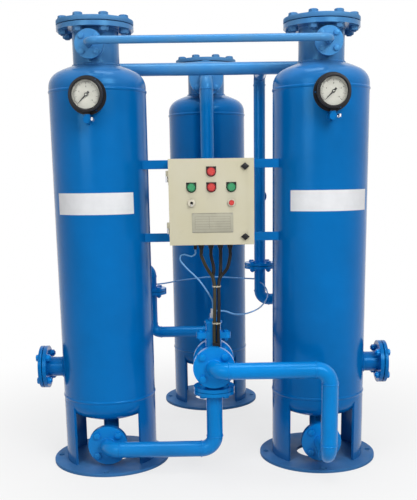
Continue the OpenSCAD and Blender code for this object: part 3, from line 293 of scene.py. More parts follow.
# One material for each of the record's slots
mats = {
    "vessel_paint": enamel("vessel_paint", VESSEL_BLUE),
    "pipe_paint": enamel("pipe_paint", PIPE_BLUE, rough=(0.13, 0.26), grime=0.3, gloss=0.42),
    "cream_paint": powder("cream_paint", CREAM),
    "black_plastic": plain("black_plastic", (0.012, 0.012, 0.014), rough=0.38, spec=0.2),
    "bright_steel": plain("bright_steel", STEEL_GREY, rough=0.24, metal=1.0, grain=300, strength=0.08),
    "gasket": plain("gasket", grey(0.05), rough=0.75, grain=160, strength=0.3),
    "dial_paint": plain("dial_paint", (0.45, 0.43, 0.38), rough=0.5, grain=120, strength=0.05, drift=0.05),
    "pointer_paint": plain("pointer_paint", grey(0.015), rough=0.5),
    "red_lens": lens("red_lens", (0.62, 0.02, 0.015)),
    "green_lens": lens("green_lens", (0.01, 0.30, 0.11)),
    "white_plastic": plain("white_plastic", (0.68, 0.70, 0.70), rough=0.4),
    "grey_plastic": plain("grey_plastic", (0.20, 0.21, 0.22), rough=0.45),
    "zinc_sheet": plain("zinc_sheet", ZINC_GREY, rough=0.38, metal=1.0, grain=60, drift=0.2),
    "desiccant": beads("desiccant"),
    "cable_sheath": plain("cable_sheath", SHEATH, rough=0.5, grain=500, strength=0.15, spec=0.2),
    "tube_plastic": plain(
        "tube_plastic", TUBE_BLUE, rough=0.22, grain=200, strength=0.05, drift=0.08, spec=0.35
    ),
    "window_glass": clear_glass("window_glass"),
}

# Finishes of pieces that the record's slots don't tell apart
olive_sheath = plain("olive_sheath", (0.034, 0.03, 0.016), rough=0.5, grain=500, strength=0.15, spec=0.2)
tie_nylon = plain("tie_nylon", (0.42, 0.39, 0.31), rough=0.45, grain=300, strength=0.1, spec=0.3)
label_vinyl = plain("label_vinyl", (0.74, 0.75, 0.77), rough=0.35, grain=60, strength=0.06, drift=0.04)
plate_metal = plain(
    "plate_metal", (0.40, 0.385, 0.30), rough=0.5, grain=260, strength=0.1, drift=0.06, spec=0.3
)
print_grey = plain("print_grey", (0.14, 0.135, 0.11), rough=0.5, grain=200, strength=0.05)
satin_nickel = plain("satin_nickel", (0.36, 0.35, 0.31), rough=0.36, metal=1.0, grain=300, strength=0.08)
ivory_plastic = plain(
    "ivory_plastic", (0.60, 0.56, 0.45), rough=0.42, grain=260, strength=0.06, drift=0.06, spec=0.3
)
collar_red = plain(
    "collar_red", (0.17, 0.012, 0.018), rough=0.35, grain=260, strength=0.06, drift=0.1, spec=0.3
)
collar_green = plain(
    "collar_green", (0.008, 0.085, 0.035), rough=0.35, grain=260, strength=0.06, drift=0.1, spec=0.3
)
weld_blue = enamel("weld_blue", VESSEL_BLUE, rough=(0.3, 0.5), grime=0.45)
dusty_paint = enamel("dusty_paint", DUSTY_BLUE, rough=(0.45, 0.65), grime=0.4, gloss=0.2)

for sub in frame["record"]["subparts"]:
    ob = nodes[sub["node"]]
    ob.data.materials.clear()
    ob.data.materials.append(mats[sub["material_slot"]])

# Dust lies on the level plates
for name in ("base_plates", "left_cover", "right_cover", "rear_cover"):
    nodes[name].data.materials[0] = dusty_paint

# Broken edges on sheet metal and plates, in metres
EDGE_WIDTHS = {
    "panel_door": 0.0024,
    "panel_box": 0.0012,
    "base_plates": 0.0012,
    "left_cover": 0.0016,
    "right_cover": 0.0016,
    "rear_cover": 0.0016,
    "drain_blinds": 0.0014,
    "upper_rail": 0.001,
    "lower_rail": 0.001,
    "pilot_block": 0.0012,
    "reset_button": 0.0012,
}
EDGE_ANGLE, EDGE_STEPS, MERGE_GAP = 50, 2, 0.00002
for name, width in EDGE_WIDTHS.items():
    join = nodes[name].modifiers.new("join", "WELD")
    join.merge_threshold = MERGE_GAP
    soft = nodes[name].modifiers.new("soft", "BEVEL")
    soft.width = width
    soft.segments = EDGE_STEPS
    soft.limit_method = "ANGLE"
    soft.angle_limit = math.radians(EDGE_ANGLE)
    soft.harden_normals = True


# Mesh helpers

SMOOTH_ANGLE = 38


def piece(name, verts, faces, mat, body, smooth=True):
    mesh = bpy.data.meshes.new(name)
    mesh.from_pydata([tuple(v) for v in verts], [], faces)
    mesh.validate()
    bm = bmesh.new()
    bm.from_mesh(mesh)
    bmesh.ops.recalc_face_normals(bm, faces=bm.faces)
    bm.to_mesh(mesh)
    bm.free()
    if smooth:
        mesh.shade_smooth()
        mesh.set_sharp_from_angle(angle=math.radians(SMOOTH_ANGLE))
    ob = bpy.data.objects.new(name, mesh)
    scene.collection.objects.link(ob)
    ob.data.materials.append(mat)
    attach(ob, body)
    return ob


class Bag:
    """Collects several closed shells into one mesh."""

    def __init__(self):
        self.verts, self.faces = [], []

    def add(self, verts, faces, place=None):
        base = len(self.verts)
        self.verts += [place @ Vector(v) if place else Vector(v) for v in verts]
        self.faces += [tuple(i + base for i in f) for f in faces]

    def rings(self, rings, place=None, closed=False):
        """Joins equal rings of points into a skin, with flat ends or closed on itself."""
        n = len(rings[0])
        verts = [p for r in rings for p in r]
        faces = []
        last = len(rings) if closed else len(rings) - 1
        for i in range(last):
            j = (i + 1) % len(rings)
            for k in range(n):
                faces.append((i * n + k, j * n + k, j * n + (k + 1) % n, i * n + (k + 1) % n))
        if not closed:
            faces.append(tuple(range(n)))
            faces.append(tuple((len(rings) - 1) * n + k for k in reversed(range(n))))
        self.add(verts, faces, place)

    def make(self, name, mat, body, slot_name, smooth=True):
        return piece(name, self.verts, self.faces, mat, body, smooth)


def full_turn(n):
    """Angles of n equal steps round a circle."""
    return [2 * math.pi * k / n for k in range(n)]


def circle(r, z, n):
    return [(r * math.cos(a), r * math.sin(a), z) for a in full_turn(n)]


# A direction that rises more than this counts as upright
STEEP = 0.9


def aim(p, direction):
    """Places local +Z along direction at p, with local X kept level."""
    w = Vector(direction).normalized()
    ref = Vector((0, 0, 1)) if abs(w.z) < STEEP else Vector((0, 1, 0))
    u = ref.cross(w).normalized()
    v = w.cross(u)
    return Matrix.Translation(p) @ Matrix((u, v, w)).transposed().to_4x4()


def flat_box(bag, place, x0, x1, y0, y1, z0, z1):
    corners = [(x0, y0), (x1, y0), (x1, y1), (x0, y1)]
    bag.rings([[(x, y, z) for x, y in corners] for z in (z0, z1)], place)


def lathe_ring(bag, place, profile, n=48):
    """Turned ring from (radius, height) pairs."""
    rings = [[(r * math.cos(a), r * math.sin(a), h) for r, h in profile] for a in full_turn(n)]
    bag.rings(rings, place, closed=True)


# Cables and tubes, repeated from the CAD routes

CABLE_D, TUBE_D, CABLE_STEPS = 0.012, 0.006, 3


def spline_points(pts, steps):
    """Points along a smooth curve through all the given ones."""
    out = []
    for i in range(len(pts) - 1):
        a, b = pts[max(i - 1, 0)], pts[i]
        c, d = pts[i + 1], pts[min(i + 2, len(pts) - 1)]
        for s in range(steps):
            t = s / steps
            square = (2 * a - 5 * b + 4 * c - d) * t * t
            cube = (3 * b - a - 3 * c + d) * t**3
            out.append((2 * b + (c - a) * t + square + cube) / 2)
    return out + [pts[-1]]


def cord(name, node, pts, steps, dia, mat):
    """Round cord along a route in mm, in place of its CAD node; returns its line."""
    line = spline_points([row(*p) for p in pts], steps)
    data = bpy.data.curves.new(name, "CURVE")
    data.dimensions = "3D"
    data.bevel_depth = dia / 2
    data.bevel_resolution = 4
    data.use_fill_caps = True
    spline = data.splines.new("POLY")
    spline.points.add(len(line) - 1)
    for q, p in zip(spline.points, line):
        q.co = (*p, 1)
    spline.use_smooth = True
    ob = bpy.data.objects.new(name, data)
    scene.collection.objects.link(ob)
    data.materials.append(mat)
    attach(ob, "dryer")
    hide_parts(node)
    return line


# Four cables from the cabinet's glands, bundled two by two down to the pilot block
GLAND_X, GLAND_Y, GLAND_Z = (-39, -4, 31, 66), -150, 843
PILOT_X, BUNDLE_Y, PILOT_Z = 10, -230.2, 513
BUNDLE = ((-7.5, -6.5), (-7.5, 6.5), (7.5, 6.5), (7.5, -6.5))
cable_lines = []
for i, (gx, (dx, dy)) in enumerate(zip(GLAND_X, BUNDLE), 1):
    cable_route = [
        (gx, GLAND_Y, GLAND_Z),
        (gx, GLAND_Y, GLAND_Z - 12),
        (gx, GLAND_Y, GLAND_Z - 25),
        (gx * 0.7 + 8, -172, 775),
        (14 + 1.7 * dx, -194 + 1.6 * dy, 745),
        (14 + dx, -207 + 1.1 * dy, 715),
        (14 + dx, -223 + dy, 660),
        (12 + dx, BUNDLE_Y - 2 + dy, 600),
        (PILOT_X + dx, BUNDLE_Y + dy, 560),
        (PILOT_X + dx, BUNDLE_Y + dy, 535),
        (PILOT_X + dx, BUNDLE_Y + dy, PILOT_Z),
    ]
    sheath = olive_sheath if i == 1 else mats["cable_sheath"]
    name = f"cable_run_{i}"
    line = cord(name, f"cable_{i}", cable_route, CABLE_STEPS, CABLE_D, sheath)
    cable_lines.append(line)

# Air tubes, which end on the actuator's fitting and on the lines' outsides
SIGNAL_X, FITTING_TOP, FITTING_MID, FITTING_R = -61, 629, 620.75, 8.8
TUBE_GAP = 0.3
LINE_REACH = LINE_R * 1000 + TUBE_GAP
TUBE_ROUTES = {
    "signal_tube": [
        (SIGNAL_X, GLAND_Y, GLAND_Z),
        (SIGNAL_X, GLAND_Y, GLAND_Z - 8),
        (SIGNAL_X, GLAND_Y, GLAND_Z - 16),
        (-76, -151, 818),
        (-100, -153, 826),
        (-116, -156, 820),
        (-116, -158, 804),
        (-104, -161, 788),
        (-87, -164, 770),
        (-50, -170, 734),
        (-20, -178, 692),
        (-4, -184, 664),
        (0, VALVE_Y, 650),
        (0, VALVE_Y, 640),
        (0, VALVE_Y, FITTING_TOP),
    ],
    "cross_tube": [
        (INLET_X + LINE_REACH, LINE_Y, 640),
        (-200, 430, 644),
        (-131, 431, 655),
        (-17, 433, 667),
        (60, 433, 665),
        (135, 431, 660),
        (RISER_X - LINE_REACH, LINE_Y, 657),
    ],
    "riser_tube": [
        (FITTING_R, VALVE_Y, FITTING_MID),
        (18, VALVE_Y, FITTING_MID),
        (28, VALVE_Y, FITTING_MID),
        (48, -172, 616),
        (72, -148, 603),
        (103, -110, 593),
        (147, -20, 585),
        (197, 120, 583),
        (232, 250, 601),
        (236, 320, 622),
        (223, 366, 641),
        (RISER_X, 388, 645),
        (RISER_X, LINE_Y - LINE_REACH, 645),
    ],
}
TUBE_STEPS = {"signal_tube": 2, "cross_tube": 5, "riser_tube": 3}
for name, route in TUBE_ROUTES.items():
    mat, steps = mats["tube_plastic"], TUBE_STEPS[name]
    cord(name + "_run", name, route, steps, TUBE_D, mat)

# Nylon ties round the bundle: heights in mm, sizes in metres
TIE_HEIGHTS, TIE_STEPS = (712, 588), 32
TIE_REACH, TIE_HALF_W, TIE_T = 0.0066, 0.0022, 0.0014
HEAD_HALF, HEAD_X, HEAD_OUT = 0.003, 0.0015, 0.0090
ties = Bag()
half = Vector((*BUNDLE[2], 0)) / 1000
rise = Vector((0, 0, TIE_HALF_W))
for z in TIE_HEIGHTS:
    nearest = [min(line, key=lambda p: abs(p.z - z / 1000)) for line in cable_lines]
    centre = sum(nearest, Vector()) / len(nearest)
    rings = []
    for a in full_turn(TIE_STEPS):
        c, s = math.cos(a), math.sin(a)
        x = math.copysign(half.x, c) + c * TIE_REACH
        y = math.copysign(half.y, s) + s * TIE_REACH
        p = centre + Vector((x, y, 0))
        out = (p - centre).normalized() * TIE_T
        rings.append([p - rise, p - rise + out, p + rise + out, p + rise])
    ties.rings(rings, closed=True)
    head = Matrix.Translation(centre + Vector((HEAD_X, -half.y - HEAD_OUT, 0)))
    flat_box(ties, head, -HEAD_HALF, HEAD_HALF, -HEAD_HALF, HEAD_HALF, -HEAD_HALF, HEAD_HALF)
ties.make("cable_ties", tie_nylon, "dryer", "cable_sheath", smooth=False)


# Bolts: chamfered heads and nuts, washers and thread on every CAD bolt

# Shares of the shank's diameter
WASHER_T, WASHER_R = 0.13, 0.95
TIP_R, ROOT_R, CREST_R = 0.38, 0.445, 0.5
# Chamfer's depths as shares of the width across flats, and its round caps as shares of half that width
CHAMFER, HALF_CHAMFER = 0.07, 0.03
HALF_CAP, TOP_CAP, NUT_CAP = 1.0185, 0.9021, 0.9215
# How far the thread stands past its nut, in metres
THREAD_END = 0.004
THREAD_STEPS, FIRST_TURN, SHANK_LAP = 7, 0.6, 0.001
WASHER_SIDES, HEX_SIDES, SHANK_SIDES = 32, 36, 20
END_TOLERANCE = 0.0001


def islands(ob):
    """Corners of each separate solid in a CAD node, as (low, high, points)."""
    mesh = ob.data
    key = {}
    merged = [key.setdefault(tuple(round(c, 5) for c in v.co), len(key)) for v in mesh.vertices]
    parent = list(range(len(key)))

    def find(a):
        while parent[a] != a:
            parent[a] = parent[parent[a]]
            a = parent[a]
        return a

    for e in mesh.edges:
        a, b = find(merged[e.vertices[0]]), find(merged[e.vertices[1]])
        parent[a] = b
    groups = {}
    for co, idx in key.items():
        groups.setdefault(find(idx), []).append(Vector(co))
    out = []
    for pts in groups.values():
        low = Vector([min(p[i] for p in pts) for i in range(3)])
        high = Vector([max(p[i] for p in pts) for i in range(3)])
        out.append((low, high, pts))
    return sorted(out, key=lambda g: tuple(round(c, 4) for c in g[0]))


def bolt_place(low, high, pts):
    """Place at the shank's end with local +Z towards the head, and the bolt's length."""
    size, mid = high - low, (low + high) / 2
    ax = max(range(3), key=lambda i: size[i])

    def reach(limit):
        end = [p for p in pts if abs(p[ax] - limit) < END_TOLERANCE]
        return max((Vector([p[i] - mid[i] for i in range(3) if i != ax]).length for p in end), default=0)

    sign = 1 if reach(high[ax]) > reach(low[ax]) else -1
    direction = Vector([sign if i == ax else 0 for i in range(3)])
    tip = mid.copy()
    tip[ax] = high[ax] if sign > 0 else low[ax]
    return aim(tip - direction * size[ax], direction), size[ax]


def hex_ring(flat, z, cap=None):
    """Hexagon of a width across flats, with its corners cut to a round cap if one is given."""
    ring = []
    for a in full_turn(HEX_SIDES):
        r = flat / 2 / math.cos((a % (math.pi / 3)) - math.pi / 6)
        r = min(r, flat / 2 * cap) if cap else r
        ring.append((r * math.cos(a), r * math.sin(a), z))
    return ring


def detailed_bolts(node, mat, slot_name, shank, flat, head_h, nut_h):
    """Replaces a node's bolts with shaped ones; flat is the width across flats."""
    bag = Bag()
    washer_t, washer_r = shank * WASHER_T, shank * WASHER_R
    nut_top = THREAD_END + nut_h
    for low, high, pts in islands(nodes[node]):
        place, top = bolt_place(low, high, pts)
        seat = top - head_h
        for z in (seat, nut_top - washer_t):
            bag.rings([circle(washer_r, h, WASHER_SIDES) for h in (z, z + washer_t)], place)
        head = [
            hex_ring(flat, seat + washer_t),
            hex_ring(flat, top - flat * CHAMFER),
            hex_ring(flat, top - flat * HALF_CHAMFER, HALF_CAP),
            hex_ring(flat, top, TOP_CAP),
        ]
        bag.rings(head, place)
        nut = [
            hex_ring(flat, THREAD_END, NUT_CAP),
            hex_ring(flat, THREAD_END + flat * CHAMFER),
            hex_ring(flat, nut_top - washer_t),
        ]
        bag.rings(nut, place)
        thread = [circle(shank * TIP_R, 0, SHANK_SIDES)]
        for k in range(THREAD_STEPS):
            r = shank * (CREST_R if k % 2 else ROOT_R)
            thread.append(circle(r, THREAD_END * (k + FIRST_TURN) / THREAD_STEPS, SHANK_SIDES))
        for z in (THREAD_END + SHANK_LAP, seat + SHANK_LAP):
            thread.append(circle(shank * CREST_R, z, SHANK_SIDES))
        bag.rings(thread, place)
    ob = bag.make(node + "_detail", mat, "dryer", slot_name)
    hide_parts(node)


# Shank, width across flats, head's height and nut's height, in metres
for node, mat, slot_name, sizes in (
    ("m20_bolts", dusty_paint, "vessel_paint", (0.020, 0.030, 0.0125, 0.016)),
    ("m16_bolts", mats["pipe_paint"], "pipe_paint", (0.016, 0.024, 0.010, 0.013)),
    ("m12_bolts", mats["pipe_paint"], "pipe_paint", (0.012, 0.018, 0.0075, 0.010)),
):
    detailed_bolts(node, mat, slot_name, *sizes)


# Weld fillets where necks, flanges and ports meet the vessels

TOWERS = (row(-TOWER_X, 0, 0), row(TOWER_X, 0, 0), row(REAR_X, REAR_Y, -REAR_DROP))
# Upper heads, in mm: crown radius, its centre's drop below the tangent line, and that line's height
CROWN_R, CROWN_DROP, TANGENT_Z = 320, 231.83, 1426
# Heights and sideways steps of ports, in mm, and the beads' radii, in metres
NECK_FLANGE_Z, COCK_Z, DRAIN_Z, LOWER_PORT_Z = 1624, 1301, 378, 171.2
PURGE_X, COCK_X = 7, 10
NECK_BEAD, DRAIN_BEAD, PIPE_BEAD, LINE_BEAD, SMALL_BEAD = 0.0055, 0.0045, 0.004, 0.0035, 0.003
BEAD_SIDES, RIPPLES, RIPPLE_SHARE, UNEVEN_SHARE, UNEVEN_STEP = 8, 24, 0.10, 0.05, 7.3
NECK_STEPS, PORT_STEPS, PIPE_STEPS = 120, 96, 72


def ripple(i, n):
    """Uneven height of a bead laid by hand, at point i of n."""
    even = RIPPLE_SHARE * math.sin(2 * math.pi * i * RIPPLES / n)
    return 1 + even + UNEVEN_SHARE * math.sin(i * UNEVEN_STEP)


def weld(points, r, bag):
    """Rippled bead along a closed line of points."""
    n = len(points)
    rings = []
    for i, p in enumerate(points):
        t = (points[(i + 1) % n] - points[i - 1]).normalized()
        u = t.orthogonal().normalized() if i == 0 else (u - t * u.dot(t)).normalized()
        v = t.cross(u)
        q = r * ripple(i, n)
        rings.append([p + u * (q * math.cos(a)) + v * (q * math.sin(a)) for a in full_turn(BEAD_SIDES)])
    bag.rings(rings, closed=True)


def level_ring(axis, r, z, n):
    """Ring of points round an upright axis, at a height in mm."""
    return [axis + Vector(p) for p in circle(r, z / 1000, n)]


def saddle(axis, shell_r, port_r, x, z, direction):
    """Line where a round port meets an upright round shell, x and z mm from its axis's foot."""
    place = aim(axis + Vector((x / 1000, 0, z / 1000)), direction)
    d = Vector(direction)
    line = []
    for q in circle(port_r, 0, PORT_STEPS):
        p = place @ Vector(q)
        rel = Vector((p.x - axis.x, p.y - axis.y, 0))
        ahead = rel.dot(d)
        line.append(p + d * (math.sqrt(max(ahead * ahead - rel.dot(rel) + shell_r**2, 0)) - ahead))
    return line


neck_z = TANGENT_Z - CROWN_DROP + math.sqrt(CROWN_R**2 - (NECK_R * 1000) ** 2)
welds = Bag()
for axis, side in zip(TOWERS, (-1, 1, 0)):
    weld(level_ring(axis, NECK_R, neck_z, NECK_STEPS), NECK_BEAD, welds)
    weld(level_ring(axis, NECK_R, NECK_FLANGE_Z, NECK_STEPS), PIPE_BEAD, welds)
    if side:
        outward = (side, 0, 0)
        weld(saddle(axis, TOWER_R, DRAIN_R, 0, DRAIN_Z, outward), DRAIN_BEAD, welds)
        weld(saddle(axis, NECK_R, PURGE_R, side * PURGE_X, NECK_PORT_Z, FORWARD), SMALL_BEAD, welds)
        weld(saddle(axis, NECK_R, LINE_R, 0, HEADER_PORT_Z, BACKWARD), LINE_BEAD, welds)
        weld(saddle(axis, TOWER_R, COCK_R, side * COCK_X, COCK_Z, FORWARD), SMALL_BEAD, welds)
        weld(level_ring(axis, PIPE_R, LOWER_PORT_Z, PIPE_STEPS), PIPE_BEAD, welds)
    else:
        weld(saddle(axis, NECK_R, PIPE_R, 0, NECK_PORT_Z, FORWARD), PIPE_BEAD, welds)
welds.make("port_welds", weld_blue, "dryer", "vessel_paint")

# Butt welds where elbows meet straight pipe, found from the corners of the pipes' centrelines
LOWER_PORT_Y, LOWER_Z, VALVE_FOOT, VALVE_FRONT, VALVE_REAR, RUN_Y = -121, 92, 325, -253, -117, -317
REAR_PORT_Y, REAR_PORT_Z, DOWN_Y, BRANCH_Z = 679, NECK_PORT_Z - REAR_DROP, 615, 1015
INLET_Z, INLET_JOINT, OUTLET_Z, RISER_JOINT, LINE_END = 714, 610, 566, 717, 600
HEADER_Y, HEADER_Z, JOINT_GAP = 190, 1514, 2
# Left run, right run and the pipe down behind the cabinet
MAIN_ROUTES = (
    (
        (-TOWER_X, LOWER_PORT_Y, LOWER_Z),
        (-TOWER_X, VALVE_Y, LOWER_Z),
        (0, VALVE_Y, LOWER_Z),
        (0, VALVE_Y, VALVE_FOOT),
    ),
    (
        (TOWER_X, LOWER_PORT_Y, LOWER_Z),
        (TOWER_X, RUN_Y, LOWER_Z),
        (TOWER_X, RUN_Y, VALVE_Z),
        (0, RUN_Y, VALVE_Z),
        (0, VALVE_FRONT, VALVE_Z),
    ),
    (
        (REAR_X, REAR_PORT_Y, REAR_PORT_Z),
        (REAR_X, DOWN_Y, REAR_PORT_Z),
        (REAR_X, DOWN_Y, BRANCH_Z),
        (RISER_X, DOWN_Y, BRANCH_Z),
        (RISER_X, LINE_Y, BRANCH_Z),
    ),
)
# Inlet line's upper and lower pieces, header, riser and outlet
LINE_ROUTES = (
    ((-LINE_END, LINE_Y, INLET_Z), (INLET_X, LINE_Y, INLET_Z), (INLET_X, LINE_Y, INLET_JOINT + JOINT_GAP)),
    (
        (INLET_X, LINE_Y, INLET_JOINT),
        (INLET_X, LINE_Y, VALVE_Z),
        (0, LINE_Y, VALVE_Z),
        (0, VALVE_REAR, VALVE_Z),
    ),
    (
        (-TOWER_X, 0, HEADER_PORT_Z),
        (-TOWER_X, HEADER_Y, HEADER_PORT_Z),
        (-TOWER_X, HEADER_Y, HEADER_Z),
        (TOWER_X, HEADER_Y, HEADER_Z),
        (TOWER_X, HEADER_Y, HEADER_PORT_Z),
        (TOWER_X, 0, HEADER_PORT_Z),
    ),
    ((RISER_X, HEADER_Y, HEADER_Z), (RISER_X, LINE_Y, HEADER_Z), (RISER_X, LINE_Y, RISER_JOINT + JOINT_GAP)),
    ((RISER_X, LINE_Y, RISER_JOINT), (RISER_X, LINE_Y, OUTLET_Z), (LINE_END, LINE_Y, OUTLET_Z)),
)
PIPE_BEND, LINE_BEND, BUTT_BEAD, SHORTEST_STRAIGHT = 0.051, 0.038, 0.0022, 0.010


def elbow_welds(route, r, bend, bag):
    """A bead at each end of each elbow, and a single one where two elbows nearly meet."""
    corners = [row(*p) for p in route]
    ends = (corners[0], corners[-1])
    for before, corner, after in zip(corners, corners[1:], corners[2:]):
        for other in (before, after):
            along = other - corner
            reach = bend
            if along.length < 2 * bend + SHORTEST_STRAIGHT and not any(other is e for e in ends):
                if other is before:
                    continue
                reach = along.length / 2
            spot = aim(corner + along.normalized() * reach, along)
            weld([spot @ Vector(q) for q in circle(r, 0, PIPE_STEPS)], BUTT_BEAD, bag)


butts = Bag()
for routes, r, bend in ((MAIN_ROUTES, PIPE_R, PIPE_BEND), (LINE_ROUTES, LINE_R, LINE_BEND)):
    for route in routes:
        elbow_welds(route, r, bend, butts)
butts.make("butt_welds", mats["pipe_paint"], "dryer", "pipe_paint")


# Bare labels round the fronts of the towers

LABEL_IN, LABEL_OUT, LABEL_STEPS = TOWER_R + 0.0001, TOWER_R + 0.0006, 48


def label(name, axis, middle, half, low, high):
    """Thin curved label: middle and half are degrees round the tower, low and high are heights."""
    section = ((LABEL_IN, low), (LABEL_OUT, low), (LABEL_OUT, high), (LABEL_IN, high))
    rings = []
    for k in range(LABEL_STEPS + 1):
        a = math.radians(middle - half + 2 * half * k / LABEL_STEPS)
        d = Vector((math.sin(a), -math.cos(a), 0))
        rings.append([axis + d * r + Vector((0, 0, z)) for r, z in section])
    bag = Bag()
    bag.rings(rings)
    bag.make(name, label_vinyl, "dryer", "vessel_paint")


label("left_label", TOWERS[0], middle=-3.5, half=50, low=0.974, high=1.051)
label("right_label", TOWERS[1], middle=8, half=52, low=0.975, high=1.050)


# Gauges: scale ticks, an arc and numbers on the dials, and a rim on each bezel

GAUGE_X, GAUGE_Y, GAUGE_Z = TOWER_X + 10, -225.8, 1383
CASE_DEPTH, DIAL_DROP, DIAL_T = 46, 20, 1.5
GAUGE_BACK = GAUGE_Y + CASE_DEPTH / 2
DIAL_FACE = GAUGE_BACK - (CASE_DEPTH - DIAL_DROP + DIAL_T)
DIAL_START, DIAL_SWEEP, DIAL_STEPS, STEPS_PER_MARK, ARC_STEPS = 225, 270, 40, 5, 60
DIAL_NUMBERS, DIGIT_H, DIGIT_R, DIGIT_HALF_T = (0, 4, 8, 12, 16), 0.0085, 0.0265, 0.00015
TICK_OUT, INK_T = 0.042, 0.0003
# Inner radius and half width of a tick
LONG_TICK, SHORT_TICK = (0.034, 0.0006), (0.0375, 0.0003)
SCALE_ARC = ((0.0424, 0), (0.0430, 0), (0.0430, INK_T), (0.0424, INK_T))
BEZEL_STEPS = 72
BEZEL_RIM = (
    (0.0480, 0.0445),
    (0.0500, 0.0445),
    (0.0500, 0.0462),
    (0.0575, 0.0462),
    (0.0582, 0.0470),
    (0.0560, 0.0482),
    (0.0505, 0.0478),
    (0.0480, 0.0455),
)


def text_mesh(body, size):
    """Corners and faces of a short text, centred on the origin."""
    data = bpy.data.curves.new("digits", "FONT")
    data.body = body
    data.size = size
    data.align_x = "CENTER"
    data.align_y = "CENTER"
    data.extrude = DIGIT_HALF_T
    data.resolution_u = 3
    ob = bpy.data.objects.new("digits", data)
    scene.collection.objects.link(ob)
    bpy.context.view_layer.update()
    mesh = bpy.data.meshes.new_from_object(ob.evaluated_get(bpy.context.evaluated_depsgraph_get()))
    bpy.data.objects.remove(ob)
    verts = [v.co.copy() for v in mesh.vertices]
    faces = [tuple(p.vertices) for p in mesh.polygons]
    bpy.data.meshes.remove(mesh)
    bpy.data.curves.remove(data)
    return verts, faces


def dial_angle(k, steps):
    """Direction of step k of a scale that runs clockwise."""
    return math.radians(DIAL_START - DIAL_SWEEP * k / steps)


dial_marks, bezel_rims = Bag(), Bag()
digits = [text_mesh(str(n), DIGIT_H) for n in DIAL_NUMBERS]
for x in (-GAUGE_X, GAUGE_X):
    dial = aim(row(x, DIAL_FACE, GAUGE_Z), FORWARD)
    for k in range(DIAL_STEPS + 1):
        inner, half_w = SHORT_TICK if k % STEPS_PER_MARK else LONG_TICK
        turn = Matrix.Rotation(dial_angle(k, DIAL_STEPS), 4, "Z")
        flat_box(dial_marks, dial @ turn, inner, TICK_OUT, -half_w, half_w, 0, INK_T)
    arc = []
    for k in range(ARC_STEPS + 1):
        a = dial_angle(k, ARC_STEPS)
        arc.append([(r * math.cos(a), r * math.sin(a), z) for r, z in SCALE_ARC])
    dial_marks.rings(arc, dial)
    for k, (verts, faces) in enumerate(digits):
        a = dial_angle(k, len(digits) - 1)
        spot = Matrix.Translation((DIGIT_R * math.cos(a), DIGIT_R * math.sin(a), DIGIT_HALF_T))
        dial_marks.add(verts, faces, dial @ spot)
    lathe_ring(bezel_rims, aim(row(x, GAUGE_BACK, GAUGE_Z), FORWARD), BEZEL_RIM, BEZEL_STEPS)
dial_marks.make("dial_marks", mats["pointer_paint"], "dryer", "pointer_paint", smooth=False)
bezel_rims.make("bezel_rims", mats["black_plastic"], "dryer", "black_plastic")


# Cabinet door: bare name plate with rules and rivets, lamp collars, control bushes, lock knobs

DOOR_FRONT, PANEL_Z = -224.9, 1015
door_place = aim(row(0, DOOR_FRONT, PANEL_Z), FORWARD)


def on_door(x, z):
    """Place on the door's face, in mm from its middle."""
    return door_place @ Matrix.Translation((x / 1000, z / 1000, 0))


def rounded(w, h, r, z, n=6):
    """Rectangle with round corners."""
    x, y = w / 2 - r, h / 2 - r
    pts = []
    for cx, cy, start in ((x, y, 0), (-x, y, 90), (-x, -y, 180), (x, -y, 270)):
        for k in range(n + 1):
            a = math.radians(start + 90 * k / n)
            pts.append((cx + r * math.cos(a), cy + r * math.sin(a), z))
    return pts


def rounded_diamond(a, b, r, z, n=4):
    """Diamond with half diagonals a and b and slightly round corners."""
    corners = [Vector(p) for p in ((a, 0), (0, b), (-a, 0), (0, -b))]
    pts = []
    for i, p in enumerate(corners):
        start = p + (corners[i - 1] - p).normalized() * r
        stop = p + (corners[(i + 1) % 4] - p).normalized() * r
        for k in range(n + 1):
            t = k / n
            m = start * (1 - t) ** 2 + p * (2 * t * (1 - t)) + stop * t**2
            pts.append((m.x, m.y, z))
    return pts


# Name plate: sizes in metres from its middle
PLATE_X, PLATE_RISE = 3, -72
PLATE_W, PLATE_H, PLATE_R, PLATE_T = 0.146, 0.070, 0.003, 0.0012
PLATE_EDGE_T, PLATE_EDGE_IN, PLATE_EDGE_R = 0.0008, 0.0015, 0.0025
RULE_X, RULE_Y, RULES, RULE_HALF, RULE_T, COLUMN_X = 0.062, 0.022, 6, 0.0003, 0.00015, -0.012
BORDER_X, BORDER_Y, BORDER_HALF, BORDER_T = 0.0708, 0.0328, 0.0005, 0.0002
RIVET_X, RIVET_Y, RIVET_SIDES = 0.068, 0.0305, 16
RIVET = ((0.0022, 0.0010), (0.0022, 0.0015), (0.0016, 0.0022), (0.0006, 0.0025))
plate_place = on_door(PLATE_X, PLATE_RISE)
plate = Bag()
plate.rings(
    [
        rounded(PLATE_W, PLATE_H, PLATE_R, 0),
        rounded(PLATE_W, PLATE_H, PLATE_R, PLATE_EDGE_T),
        rounded(PLATE_W - PLATE_EDGE_IN, PLATE_H - PLATE_EDGE_IN, PLATE_EDGE_R, PLATE_T),
    ],
    plate_place,
)
plate.make("name_plate", plate_metal, "door", "bright_steel")
rules = Bag()
for k in range(RULES):
    y = RULE_Y - 2 * RULE_Y * k / (RULES - 1)
    flat_box(rules, plate_place, -RULE_X, RULE_X, y - RULE_HALF, y + RULE_HALF, PLATE_T, PLATE_T + RULE_T)
for x in (-RULE_X, RULE_X, COLUMN_X):
    flat_box(rules, plate_place, x - RULE_HALF, x + RULE_HALF, -RULE_Y, RULE_Y, PLATE_T, PLATE_T + RULE_T)
for y in (-BORDER_Y, BORDER_Y):
    low, high = y - BORDER_HALF, y + BORDER_HALF
    flat_box(rules, plate_place, -BORDER_X, BORDER_X, low, high, PLATE_T, PLATE_T + BORDER_T)
rules.make("name_plate_rules", print_grey, "door", "black_plastic", smooth=False)
rivets = Bag()
